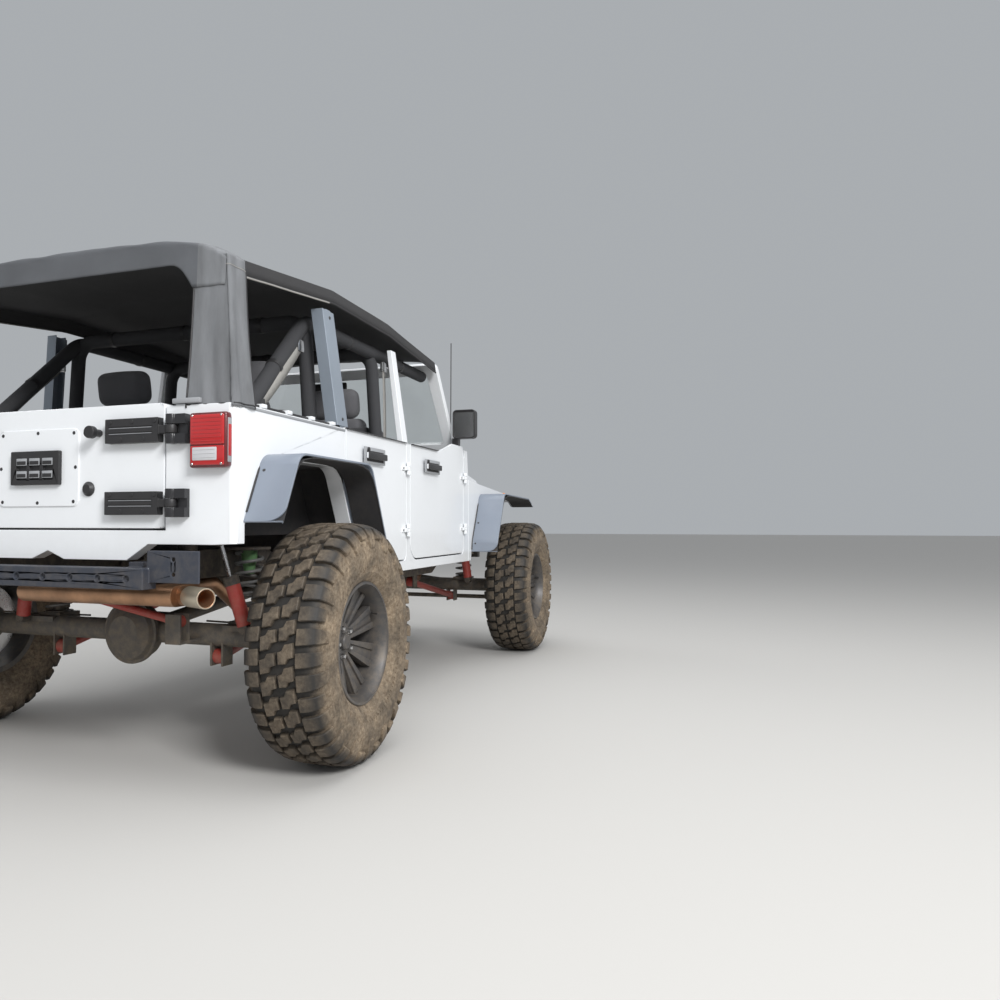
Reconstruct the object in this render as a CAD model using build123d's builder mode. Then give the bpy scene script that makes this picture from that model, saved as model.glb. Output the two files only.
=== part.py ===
from build123d import *
import os
from math import atan2, cos, degrees, hypot, radians, sin, sqrt

# Lifted four-door off-road 4x4 with half doors and an open soft top.
# Frame: +X forward, +Y to the vehicle's left, +Z up, millimetres.
# Origin: on the ground, midway between the axles and under the middle of the whole vehicle.

os.makedirs("parts", exist_ok=True)

# Stance
wheelbase = 2946
overhang = 589               # axle line to the face of the front bumper, or of the rear beam
tyre_radius = 452
tyre_width = 305
tyre_y = 910                 # middle plane of each tyre
front_x = wheelbase / 2
rear_x = -wheelbase / 2
reach = wheelbase / 2 + overhang

# Tyre tread
lug_count = 16
lug_half = 42                # half a lug's length along the tread
lug_height = 20
lug_sink = 12                # how far a lug reaches into the carcass
axle_z = sqrt(tyre_radius ** 2 - lug_half ** 2)      # stands on the flats of its lowest lugs

# Wheels
rim_radius = 222             # bead seat
rim_width = 244
rim_wall = 17
lip_height = 8
lip_width = 10
hub_face = 12                # hub mounting face, inboard of the tyre's middle plane
hub_radius = 72
spoke_count = 8
spindle_radius = 25
disc_radius = 165
fit_gap = 0.3                # running clearance round a shaft or pin
swing_gap = 5                # least clearance of moving pieces

# Steering
kingpin_y = tyre_y - 150
arm_length = 150             # kingpin to tie rod, along the vehicle
ear_z = 100                  # axle ears above and below the hub line
pitman_y = 330

# Frame rails
rail_y = 400
rail_width = 60
rail_height = 110
rail_mid_z = axle_z + 110    # bottom of the rails between the axles
rail_rear_z = axle_z + 238
rail_front_z = axle_z + 200
mount_height = 20            # rubber mounts between the frame and the floor

# Tub
side_y = 790                 # outer skin of the body
wall = 70                    # thickness of a body side
rear_wall = 60
floor_t = 18
sheet = 15                   # folded panels of the floor and wheelhouses
sill_z = rail_mid_z + rail_height + mount_height + floor_t
rocker_z = sill_z - 48
belt_z = sill_z + 592
cargo_z = sill_z + 160
arch_z = sill_z + 422
sill_y = side_y - 150        # inner face of the sills
house_y = side_y - 245       # inner wall of the wheelhouses
rear_face = reach - 83       # the tub's rear skin, behind the origin
cowl_x = front_x - 853       # front edge of the cowl side
cowl_z = belt_z + 45
firewall_x = cowl_x - 60
arch_ahead = tyre_radius + 36        # rear wheel opening, ahead of the axle
arch_behind = tyre_radius + 15
step_x = rear_x + arch_ahead + 25    # the floor steps up to the cargo floor here

# Doors
door_gap = 7
door_bottom = sill_z + door_gap
skin = 12                    # outer skin of a door
door_depth = 60
door_inset = 22              # inner door box, inside the skin's edge
pillar_front = -387          # the B-pillar between the doors
pillar_rear = -435
front_door_rear = pillar_front + door_gap
front_door_front = cowl_x - 105
rear_door_front = pillar_rear - door_gap
rear_door_rear = rear_x + arch_ahead - 155
mirror_z = belt_z + 65       # belt line where it rises to the mirror
pin_out = 13                 # hinge pin outside the skin
hinge_radius = 10
hinge_height = 62
door_hinge_z = (belt_z - 438, belt_z - 128)
handle_z = belt_z - 112
handle_length = 200

# Tailgate
gate_y = side_y - 282
gate_bottom = cargo_z + 13
gate_top = belt_z + 12
gate_depth = 60
gate_pin_x = -(rear_face + 21)
gate_pin_y = -(gate_y + 44)
gate_barrel = 20
gate_hinges = ((belt_z - 133, 100), (belt_z - 381, 96))      # bottom, height

# Hood and nose
hood_rear = cowl_x - 12
hood_front = reach - 372
hood_rear_y = side_y - 150
hood_front_y = side_y - 240
hood_rear_z = cowl_z - 3
hood_front_z = belt_z - 85
hood_skirt_z = belt_z - 130
hood_t = 22
grille_front = reach - 292
grille_t = 60
grille_bottom = rail_front_z + 200
grille_slots = 9
lamp_y = hood_front_y - 130
lamp_z = hood_front_z - 135
lamp_radius = 90

# Windscreen
screen_base_x = cowl_x - 75
screen_top_x = screen_base_x - 255
screen_top_z = belt_z + 550
screen_base_y = side_y - 48
screen_top_y = side_y - 90
screen_rail = 62
screen_t = 44

# Sport bar and soft top
bar_radius = 32
bar_y = side_y - 150
bar_top_y = side_y - 180
bar_z = belt_z + 465
hoop_front_x = pillar_rear - 40
hoop_rear_x = rear_x + 293
cloth_t = 8
header_depth = 106           # the soft top's rear corners, along the vehicle


def side_plane(sign, y):
    """Upright plane along the vehicle at distance y on the left (+1) or right (-1)."""
    return Plane.XZ.offset(-sign * y)


def across(side, low, high):
    """Span of y on one side of the vehicle."""
    return tuple(sorted((side * low, side * high)))


def slab(x_range, y_range, z_range, mode=Mode.ADD):
    """Rectangular plate or block between two corners."""
    centre = tuple((low + high) / 2 for low, high in (x_range, y_range, z_range))
    size = [high - low for low, high in (x_range, y_range, z_range)]
    with Locations(centre):
        Box(*size, mode=mode)


def rod(start, end, radius, mode=Mode.ADD):
    """Round bar between two points."""
    line = Vector(*end) - Vector(*start)
    with BuildSketch(Plane(origin=start, z_dir=line)) as section:
        Circle(radius)
    extrude(section.sketch, amount=line.length, mode=mode)


def tube(points, radii, radius):
    """Bent tube: straight runs joined by tangent arcs."""
    with BuildLine() as route:
        FilletPolyline(*points, radius=radii)
    with BuildSketch(Plane(origin=route.line @ 0, z_dir=route.line % 0)) as section:
        Circle(radius)
    sweep(sections=section.sketch, path=route.line)


def outline(corners):
    """Closed face with rounded corners, from corner points and corner radii."""
    with BuildLine() as edge:
        FilletPolyline(*[point for point, _ in corners], radius=[radius for _, radius in corners], close=True)
    make_face(edge.edges())


def save(block, name):
    """Label a finished piece and write it."""
    block.part.label = name
    export_step(block.part, "parts/" + name + ".step")


# Door outlines in the side view
front_door = [
    ((front_door_rear, belt_z), 8),
    ((front_door_rear, door_bottom), 95),
    ((front_door_front, door_bottom), 30),
    ((front_door_front, mirror_z), 12),
    ((front_door_front - 215, mirror_z), 60),
    ((front_door_front - 455, belt_z), 120),
]
rear_door = [
    ((rear_door_front, belt_z), 8),
    ((rear_door_rear, belt_z), 8),
    ((rear_door_rear, belt_z - 192), 70),
    ((rear_x + arch_ahead + 60, door_bottom), 60),
    ((rear_door_front, door_bottom), 30),
]
# Wheel openings in the body side and in the front fender
rear_arch = [
    ((rear_x + arch_ahead, rocker_z - 30), 0),
    ((rear_x + arch_ahead - 40, sill_z + 52), 40),
    ((rear_x + arch_ahead - 227, arch_z), 90),
    ((rear_x - arch_behind + 140, arch_z), 90),
    ((rear_x - arch_behind + 15, cargo_z + 12), 40),
    ((rear_x - arch_behind, sill_z + 92), 0),
    ((rear_x - arch_behind, rocker_z - 30), 0),
]
front_arch = [
    ((cowl_x + 60, rocker_z - 20), 0),
    ((cowl_x + 75, sill_z + 52), 40),
    ((front_x - 593, belt_z - 225), 90),
    ((front_x + 167, belt_z - 240), 20),
    ((front_x + 227, rocker_z - 20), 0),
]


# Tyre: many-sided carcass, shoulder lugs that run down the sidewall by turns, slanted centre lugs
def make_tyre(name, x, side):
    centre = (x, side * tyre_y, axle_z)
    turning = Axis(centre, (0, 1, 0))
    half = tyre_width / 2
    tread = tyre_radius - lug_height
    bead = rim_width / 2 - lip_width - fit_gap
    bead_top = rim_radius + lip_height + 1
    # Half section of the carcass, and of a long and a short shoulder lug: place across the tyre, radius
    carcass = [(bead, bead_top), (half, bead_top + 110), (half - 40, tread)]
    lug_top = [(half - 113, tread - lug_sink), (half - 113, axle_z), (half - 43, axle_z), (half, axle_z - 40)]
    long_lug = lug_top + [(half, axle_z - 92), (half - 20, axle_z - 92)]
    short_lug = lug_top + [(half - 50, axle_z - 56)]
    lugs = []
    for points in (long_lug, short_lug):
        with BuildPart() as pair:
            for way in (1, -1):
                with BuildSketch(Plane(origin=centre, x_dir=(0, 1, 0), z_dir=(1, 0, 0))) as section:
                    with BuildLine() as edge:
                        Polyline(*[(way * place, radius) for place, radius in points], close=True)
                    make_face(edge.edges())
                extrude(section.sketch, amount=lug_half, both=True)
        lugs.append(pair.part)
    with BuildPart() as middle:
        with BuildSketch(Plane(origin=centre).offset(axle_z)):
            Polygon((-lug_half + 4, -38), (lug_half - 34, -38), (lug_half - 4, 38), (34 - lug_half, 38), align=None)
        extrude(amount=-lug_height - lug_sink)
    pitch = 360 / lug_count
    across_axle = Plane(origin=centre, x_dir=(1, 0, 0), z_dir=(0, 1, 0))
    bands = []
    for place, radius in carcass + [(-place, radius) for place, radius in reversed(carcass)]:
        with BuildSketch(across_axle.offset(place)) as band:
            RegularPolygon(radius, 2 * lug_count, rotation=90 / lug_count)
        bands.append(band.sketch)
    with BuildPart() as tyre:
        loft(bands, ruled=True)
        with BuildSketch(across_axle):
            Circle(rim_radius)
        extrude(amount=half, both=True, mode=Mode.SUBTRACT)
        add([lugs[i % 2].rotate(turning, i * pitch) for i in range(lug_count)])
        add([middle.part.rotate(turning, (i + 0.5) * pitch) for i in range(lug_count)])
    save(tyre, name)


# Rim: barrel, dished face with windows, hub and brake disc, turned about the axle
def make_rim(name, x, side):
    centre = (x, side * tyre_y, axle_z)
    outboard = Plane(origin=centre, x_dir=(1, 0, 0), z_dir=(0, side, 0))
    half = rim_width / 2
    seat = rim_radius - fit_gap
    lip = rim_radius + lip_height
    bore = rim_radius - rim_wall
    window_low = hub_radius + 22
    window_high = bore - 19
    with BuildPart(outboard) as rim:
        with BuildSketch(Plane(origin=centre, x_dir=(0, side, 0), z_dir=(side, 0, 0))):
            # barrel with its two lips
            with BuildLine():
                Polyline((-half, bore), (-half, lip), (-half + lip_width, lip), (-half + lip_width, seat),
                         (half - lip_width, seat), (half - lip_width, lip), (half, lip), (half, lip - 14),
                         (88, bore), close=True)
            make_face()
            # dished face from the hub out to the barrel, with the centre cap
            with BuildLine():
                Polyline((-hub_face, 0), (50, 0), (50, 34), (24, 46), (24, hub_radius), (86, bore - 9),
                         (86, bore + 4), (56, bore + 4), (58, bore - 9), (-hub_face, hub_radius + 10), close=True)
            make_face()
            # hub and brake disc
            with BuildLine():
                Polyline((-60, 0), (-60, hub_radius), (-56, hub_radius), (-56, disc_radius), (-34, disc_radius),
                         (-34, hub_radius - 2), (-hub_face, hub_radius - 2), (-hub_face, 0), close=True)
            make_face()
        revolve(axis=Axis(centre, (0, 1, 0)))
        with BuildSketch(outboard.offset(-hub_face + 6)):
            with PolarLocations((window_low + window_high) / 2, spoke_count):
                length = window_high - window_low
                Polygon((-length / 2, -14), (length / 2, -44), (length / 2, 44), (-length / 2, 14))
        extrude(amount=rim_width, mode=Mode.SUBTRACT)
        with BuildSketch(outboard.offset(-61)):
            Circle(spindle_radius + fit_gap)
        extrude(amount=50, mode=Mode.SUBTRACT)
    save(rim, name)


for place, x in (("front", front_x), ("rear", rear_x)):
    for side_name, side in (("left", 1), ("right", -1)):
        make_tyre("tyre_" + place + "_" + side_name, x, side)
        make_rim("rim_" + place + "_" + side_name, x, side)

# Ladder frame: two rails that rise over the axles, cross-members, body mounts and brackets
rail_end = -(reach - 150)
rail_nose = reach - 127
rail_in = rail_y - rail_width / 2
rail_out = rail_y + rail_width / 2
rail_line = [
    (rail_end, rail_rear_z), (rear_x + 293, rail_rear_z), (rear_x + 513, rail_mid_z), (front_x - 513, rail_mid_z),
    (front_x - 323, rail_front_z), (rail_nose, rail_front_z),
]
# Cross-members: middle x, bottom z, height
cross_members = [
    (rear_x + 353, rail_mid_z + 80, 90), (-530, rail_mid_z + 46, 60), (front_x - 573, rail_mid_z + 2, 70),
    (reach - 242, rail_front_z + 5, 90),
]
# Body mounts: x, bottom z, top z
rail_mid_top = rail_mid_z + rail_height
body_mounts = [
    (rear_x + 643, rail_mid_top, sill_z - floor_t), (-100, rail_mid_top, sill_z - floor_t),
    (firewall_x - 80, rail_mid_top, sill_z - floor_t), (rear_x - 227, rail_rear_z + rail_height, cargo_z - floor_t),
]
coil_y = rail_y + 90
coil_low = axle_z + 55
coil_high = rail_rear_z + 102
rear_coil_x = rear_x + 60
front_coil_x = front_x
link_radius = 20
eye_radius = 30
link_front_x = front_x - 833         # frame ends of the lower links
link_rear_x = rear_x + 753
link_z = rail_mid_z - 40
axle_link_z = axle_z - 85
bar_x = rear_x - 150                 # rear track bar, behind the axle
bar_frame = (bar_x, rail_y, rail_rear_z - 38)
bar_axle = (bar_x, -300, axle_z + 65)
steer_box_z = rail_front_z - 65
pitman_radius = 12


def bar_cheeks(x, y, z_range):
    """Two plates on either side of an eye of the track bar."""
    for x0 in (x - 30, x + 22):
        slab((x0, x0 + 8), (y - 35, y + 35), z_range)


with BuildPart() as frame:
    with BuildSketch(side_plane(1, rail_in)):
        with BuildLine():
            low = FilletPolyline(*rail_line, radius=60)
            high = FilletPolyline(*[(x, z + rail_height) for x, z in rail_line], radius=60)
            Line(low @ 0, high @ 0)
            Line(low @ 1, high @ 1)
        make_face()
    extrude(amount=-rail_width)
    for x, z0, z1 in body_mounts:
        with BuildSketch(Plane.XY.offset(z0)):
            with Locations((x, rail_y)):
                Circle(38)
        extrude(amount=z1 - z0)
    for coil_x in (front_coil_x, rear_coil_x):
        slab((coil_x - 70, coil_x + 70), (rail_y, coil_y + 60), (coil_high, coil_high + 12))
        slab((coil_x - 70, coil_x + 70), (rail_y, rail_out), (rail_rear_z + 60, coil_high + 12))
    for x in (link_front_x, link_rear_x):
        for y in (rail_y - 30, rail_y + 22):
            slab((x - 35, x + 35), (y, y + 8), (link_z - 35, rail_mid_z))
    mirror(about=Plane.XZ)
    for x, z, height in cross_members:
        slab((x - 35, x + 35), (-rail_y, rail_y), (z, z + height))
    bar_cheeks(bar_x, bar_frame[1], (bar_frame[2] - 35, rail_rear_z + 10))
    # steering box on the left rail, with the bore of the pitman shaft
    slab((front_x - 65, front_x + 60), (pitman_y - 42, rail_in), (steer_box_z, steer_box_z + 150))
    with Locations((front_x, pitman_y, steer_box_z)):
        Cylinder(pitman_radius + fit_gap, 60, mode=Mode.SUBTRACT)
save(frame, "frame")

# Rear beam: box section with round recesses, and end brackets with the bumper's bolt holes
beam_front = -(reach - 72)
beam_bottom = rail_rear_z - 12
beam_top = beam_bottom + 72
beam_y = 488
bracket_y = 688
bracket_x = -(reach - 32)
beam_bolt_y = 585
beam_bolt_z = (beam_bottom + 52, beam_bottom + 102)
beam_bolt_radius = 7
with BuildPart() as rear_beam:
    slab((-reach, beam_front), (-beam_y, beam_y), (beam_bottom, beam_top))
    with BuildSketch(Plane.YZ.offset(-reach)):
        with GridLocations(120, 1, 8, 1):
            with Locations((0, (beam_bottom + beam_top) / 2)):
                Circle(11)
    extrude(amount=12, mode=Mode.SUBTRACT)
    for side in (1, -1):
        slab((beam_front, rail_end), across(side, rail_in, rail_out), (rail_rear_z, beam_top + 17))
        slab((bracket_x, bracket_x + 8), across(side, beam_y - 8, bracket_y), (beam_bottom + 23, beam_bottom + 131))
        slab((bracket_x, beam_front + 5), across(side, beam_y - 8, beam_y), (beam_bottom + 23, beam_top))
    with BuildSketch(Plane.YZ.offset(bracket_x - 10)):
        for z in beam_bolt_z:
            with Locations((-beam_bolt_y, z), (beam_bolt_y, z)):
                Circle(beam_bolt_radius)
    extrude(amount=30, mode=Mode.SUBTRACT)
save(rear_beam, "rear_beam")

# Front bumper: short steel box with tapered ends and two shackle tabs
bumper_y = 462
bumper_bottom = rail_front_z - 22
bumper_top = rail_front_z + 125
bumper_back = reach - 127
shackle_y = 260
shackle_x = reach - 18
shackle_z = rail_front_z + 47
shackle_radius = 12
with BuildPart() as front_bumper:
    with BuildSketch(Plane.XY.offset(bumper_bottom)):
        with BuildLine():
            Polyline((bumper_back, -bumper_y), (reach - 72, -bumper_y), (reach - 32, -bumper_y + 82),
                     (reach - 32, bumper_y - 82), (reach - 72, bumper_y), (bumper_back, bumper_y), close=True)
        make_face()
    extrude(amount=bumper_top - bumper_bottom)
    chamfer(front_bumper.edges().filter_by(Axis.Y).sort_by(Axis.X)[-2:], length=22)
    for side in (1, -1):
        with BuildSketch(side_plane(1, side * shackle_y - 12)):
            with BuildLine():
                Polyline((reach - 37, shackle_z - 37), (reach - 24, shackle_z - 37), (reach, shackle_z - 17),
                         (reach, shackle_z + 18), (reach - 24, shackle_z + 38), (reach - 37, shackle_z + 38),
                         close=True)
            make_face()
            with Locations((shackle_x, shackle_z)):
                Circle(shackle_radius, mode=Mode.SUBTRACT)
        extrude(amount=-24)
save(front_bumper, "front_bumper")

# Axles
axle_radius = 45
spindle_end = tyre_y - hub_face - 18
flange_y = tyre_y - 60 - swing_gap


def axle_brackets(x, coil_x):
    """Spring seats and the cheeks of the lower links, on both sides."""
    for side in (1, -1):
        slab((coil_x - 60, coil_x + 60), across(side, coil_y - 60, coil_y + 60), (coil_low - 12, coil_low))
        slab((coil_x - 30, coil_x + 30), across(side, coil_y - 50, coil_y + 50), (axle_z, coil_low - 12))
        for y in (rail_y - 30, rail_y + 22):
            slab((x - 35, x + 35), across(side, y, y + 8), (axle_link_z - 35, axle_z))


def differential(x, y, forward):
    """Housing turned about the vehicle's length: domed cover, bolting flange and pinion nose."""
    with BuildSketch(Plane(origin=(x, y, axle_z), x_dir=(forward, 0, 0), z_dir=(0, -forward, 0))) as section:
        with BuildLine() as edge:
            Polyline((-105, 0), (-105, 70), (-80, 108), (-62, 118), (-62, 130), (-44, 130), (-44, 118), (10, 112),
                     (70, 74), (200, 56), (200, 0), close=True)
        make_face(edge.edges())
    revolve(section.sketch, axis=Axis((x, y, axle_z), (1, 0, 0)))


# Rear axle: tube, differential, wheel-end flanges, spring seats, link and track bar brackets
with BuildPart() as axle_rear:
    rod((rear_x, -flange_y, axle_z), (rear_x, flange_y, axle_z), axle_radius)
    rod((rear_x, -spindle_end, axle_z), (rear_x, spindle_end, axle_z), spindle_radius)
    differential(rear_x, 0, 1)
    for side in (1, -1):
        rod((rear_x, side * (flange_y - 30), axle_z), (rear_x, side * flange_y, axle_z), 75)
        slab((rear_x - 40, rear_coil_x + 60), across(side, coil_y - 60, coil_y + 60), (axle_z + 20, coil_low - 12))
    axle_brackets(rear_x, rear_coil_x)
    bar_cheeks(bar_x, bar_axle[1], (axle_z - 20, bar_axle[2] + 30))
    slab((bar_x - 30, rear_x - 30), (bar_axle[1] - 35, bar_axle[1] + 35), (axle_z - 20, axle_z - 8))
save(axle_rear, "axle_rear")

# Front axle: tube, offset differential, and yokes whose ears carry the steering knuckles
front_diff_y = 190
ear_t = 20
ear_radius = 30
pin_radius = 12
yoke_y = kingpin_y - 50
with BuildPart() as axle_front:
    rod((front_x, -(yoke_y - 5), axle_z), (front_x, yoke_y - 5, axle_z), axle_radius)
    differential(front_x, front_diff_y, -1)
    for side in (1, -1):
        slab((front_x - 45, front_x + 45), across(side, yoke_y - 20, yoke_y), (axle_z - ear_z, axle_z + ear_z))
        for z in (axle_z - ear_z, axle_z + ear_z - ear_t):
            with BuildSketch(Plane.XY.offset(z)):
                with Locations((front_x, side * (kingpin_y - 30))):
                    Rectangle(2 * ear_radius, 60)
                with Locations((front_x, side * kingpin_y)):
                    Circle(ear_radius)
                    Circle(pin_radius + fit_gap, mode=Mode.SUBTRACT)
            extrude(amount=ear_t)
    axle_brackets(front_x, front_coil_x)
save(axle_front, "axle_front")

# Steering knuckles: upright with pins in the axle's ears, spindle and steering arm
arm_z = axle_z - 70
arm_t = 20
joint_radius = 8             # pins of the tie rod and drag link
tip_x = front_x + arm_length
upright_y = kingpin_y + 40
for side_name, side in (("left", 1), ("right", -1)):
    pin_y = side * kingpin_y
    with BuildPart() as knuckle:
        slab((front_x - 58, front_x + 58), across(side, upright_y, flange_y), (axle_z - 125, axle_z + 125))
        for way in (1, -1):
            # arm of the upright beyond an ear, and its pin
            near = axle_z + way * (ear_z + swing_gap)
            far = axle_z + way * (ear_z + 25)
            slab((front_x - ear_radius, front_x + ear_radius), across(side, kingpin_y, upright_y + 10),
                 tuple(sorted((near, far))))
            rod((front_x, pin_y, near), (front_x, pin_y, far), ear_radius)
            rod((front_x, pin_y, axle_z + way * (ear_z - ear_t)), (front_x, pin_y, far), pin_radius)
        rod((front_x, side * upright_y, axle_z), (front_x, side * spindle_end, axle_z), spindle_radius)
        # steering arm, forward of the axle
        with BuildSketch(Plane.XY.offset(arm_z - arm_t / 2)):
            with BuildLine():
                Polyline((front_x + 40, side * (kingpin_y + 72)), (tip_x - 12, side * (kingpin_y + 20)),
                         (tip_x - 12, side * (kingpin_y - 18)), (front_x + 58, side * (kingpin_y + 42)),
                         (front_x + 40, side * (kingpin_y + 42)), close=True)
            make_face()
            with Locations((tip_x, pin_y)):
                Circle(24)
                Circle(joint_radius + fit_gap, mode=Mode.SUBTRACT)
        extrude(amount=arm_t)
    save(knuckle, "knuckle_" + side_name)

# Tie rod under the two steering arms
rod_radius = 15
end_radius = 20
end_half = 16
tie_z = arm_z - arm_t / 2 - swing_gap - end_half
with BuildPart() as tie_rod:
    rod((tip_x, -kingpin_y, tie_z), (tip_x, kingpin_y, tie_z), rod_radius)
    for y in (-kingpin_y, kingpin_y):
        rod((tip_x, y, tie_z - end_half), (tip_x, y, tie_z + end_half), end_radius)
        rod((tip_x, y, tie_z), (tip_x, y, arm_z + arm_t / 2 - 8), joint_radius)
save(tie_rod, "tie_rod")

# Pitman arm under the steering box, and the drag link from it to the right knuckle
pitman_t = 20
pitman_z = steer_box_z - swing_gap - pitman_t
drag_low_z = arm_z + arm_t / 2 + swing_gap + end_half
drag_high_z = pitman_z - swing_gap - end_half
with BuildPart() as pitman_arm:
    with BuildSketch(Plane.XY.offset(pitman_z)):
        with Locations((front_x + arm_length / 2, pitman_y)):
            SlotCenterToCenter(arm_length, 44)
        with Locations((tip_x, pitman_y)):
            Circle(joint_radius + fit_gap, mode=Mode.SUBTRACT)
    extrude(amount=pitman_t)
    rod((front_x, pitman_y, pitman_z + pitman_t / 2), (front_x, pitman_y, steer_box_z + 25), pitman_radius)
save(pitman_arm, "pitman_arm")

with BuildPart() as drag_link:
    rod((tip_x, -kingpin_y, drag_low_z), (tip_x, pitman_y, drag_high_z), rod_radius)
    for y, z in ((-kingpin_y, drag_low_z), (pitman_y, drag_high_z)):
        rod((tip_x, y, z - end_half), (tip_x, y, z + end_half), end_radius)
    rod((tip_x, -kingpin_y, drag_low_z), (tip_x, -kingpin_y, arm_z + 2), joint_radius)
    rod((tip_x, pitman_y, drag_high_z), (tip_x, pitman_y, pitman_z + pitman_t - 8), joint_radius)
save(drag_link, "drag_link")

# Suspension links: lower links from the axles to the frame, and the rear track bar
with BuildPart() as suspension_links:
    for y in (-rail_y, rail_y):
        for axle_x, frame_x in ((front_x, link_front_x), (rear_x, link_rear_x)):
            rod((axle_x, y, axle_link_z), (frame_x, y, link_z), link_radius)
            for x, z in ((axle_x, axle_link_z), (frame_x, link_z)):
                rod((x, y - 22, z), (x, y + 22, z), eye_radius)
    rod(bar_frame, bar_axle, 16)
    for x, y, z in (bar_frame, bar_axle):
        rod((x - 22, y, z), (x + 22, y, z), 24)
save(suspension_links, "suspension_links")

# Springs and shock absorbers: each coil as one turned stack of rings on its seat
coil_radius = 60
wire = 16
rings = 6
# Shock absorbers: lower end, upper end
shock_ends = [
    ((rear_x - 75, coil_y + 70, axle_z + 40), (rear_x - 120, coil_y - 20, coil_high + 40)),
    ((front_x - 110, coil_y + 70, axle_z + 40), (front_x - 110, coil_y + 10, coil_high + 90)),
]
with BuildPart() as springs_shocks:
    pitch = (coil_high - coil_low) / rings
    for coil_x in (front_coil_x, rear_coil_x):
        with BuildSketch(Plane(origin=(coil_x, coil_y, coil_low), x_dir=(1, 0, 0), z_dir=(0, -1, 0))):
            with BuildLine():
                zigzag = [(coil_radius - wire, 0)]
                for i in range(rings):
                    zigzag += [(coil_radius, (i + 0.5) * pitch), (coil_radius - wire, (i + 1) * pitch)]
                Polyline(*zigzag, (coil_radius - 30, rings * pitch), (coil_radius - 30, 0), close=True)
            make_face()
        revolve(axis=Axis((coil_x, coil_y, 0), (0, 0, 1)))
    for lower, upper in shock_ends:
        middle = tuple((a + b) / 2 for a, b in zip(lower, upper))
        rod(lower, middle, 32)
        rod(middle, upper, 24)
    mirror(about=Plane.XZ)
save(springs_shocks, "springs_shocks")

# Engine, gearbox and shafts as plain masses at their place
case_z = rail_mid_z + 30             # shaft line of the transfer case
with BuildPart() as drivetrain:
    slab((firewall_x + 160, front_x - 143), (-270, 270), (rail_front_z - 5, rail_front_z + 460))
    slab((-250, firewall_x + 160), (-125, 125), (rail_mid_z - 15, rail_mid_z + 120))
    slab((-60, 160), (-125, front_diff_y + 40), (rail_mid_z - 25, rail_mid_z + 100))
    rod((-250, 0, case_z), (rear_x + 214, 0, axle_z + 25), 32)
    rod((160, front_diff_y, case_z), (front_x - 209, front_diff_y, axle_z + 20), 28)
save(drivetrain, "drivetrain")

# Exhaust: pipe under the floor, oval muffler across the tail, and an open tip at the right
muffler_x = -(reach - 197)
muffler_z = rail_rear_z - 43
pipe_y = -304
pipe_low_z = rail_mid_z - 40
with BuildPart() as exhaust:
    with BuildSketch(side_plane(-1, 518)):
        with Locations((muffler_x, muffler_z)):
            SlotOverall(180, 75)
    extrude(amount=-688)
    tube([(front_x - 463, pipe_y, rail_front_z + 70), (front_x - 463, pipe_y, pipe_low_z),
          (rear_x + 293, pipe_y, pipe_low_z), (rear_x + 73, pipe_y, muffler_z + 10),
          (muffler_x, pipe_y, muffler_z + 5)], [42, 90, 90], 28)
    tip_start = (muffler_x, -480, muffler_z)
    tip_end = (muffler_x - 92, -665, muffler_z)
    rod(tip_start, tip_end, 34)
    rod((muffler_x - 40, -560, muffler_z), (muffler_x - 110, -701, muffler_z), 30, Mode.SUBTRACT)
save(exhaust, "exhaust")

# Fuel tank
with BuildPart() as fuel_tank:
    slab((-470, -80), (150, rail_in - 8), (rail_mid_z - 55, rail_mid_z + 108))
    fillet(fuel_tank.edges().filter_by(Axis.X), radius=30)
save(fuel_tank, "fuel_tank")

# Floor: front floor, step, cargo floor, wheelhouses, firewall and cowl top
tub_end = -rear_face + rear_wall
side_in = side_y - wall
with BuildPart() as floor_pan:
    slab((step_x, firewall_x + 25), (-sill_y, sill_y), (sill_z - floor_t, sill_z))
    slab((step_x - floor_t, step_x), (-sill_y, sill_y), (sill_z - floor_t, cargo_z))
    slab((tub_end, step_x), (-house_y, house_y), (cargo_z - floor_t, cargo_z))
    for side in (1, -1):
        house = across(side, house_y, side_in)
        slab((tub_end, step_x), across(side, house_y, house_y + sheet), (cargo_z - floor_t, arch_z + sheet))
        slab((tub_end, step_x - 170), house, (arch_z, arch_z + sheet))
        slab((tub_end, tub_end + sheet), house, (cargo_z, arch_z + sheet))
        with BuildSketch(side_plane(side, house_y)):
            with BuildLine():
                Polyline((step_x - floor_t, cargo_z - 120), (step_x, cargo_z - 120),
                         (step_x - 155, arch_z + sheet), (step_x - 180, arch_z + sheet), close=True)
            make_face()
        extrude(amount=-side * (side_in - house_y))
        slab((step_x - floor_t, step_x), across(side, sill_y, side_in), (sill_z, cargo_z - 100))
    # firewall and cowl
    slab((firewall_x, firewall_x + 25), (-side_in, side_in), (sill_z - floor_t, cowl_z - 20))
    slab((screen_base_x - 40, hood_rear - 8), (-side_in, side_in), (cowl_z - 20, cowl_z))
save(floor_pan, "floor_pan")

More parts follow.
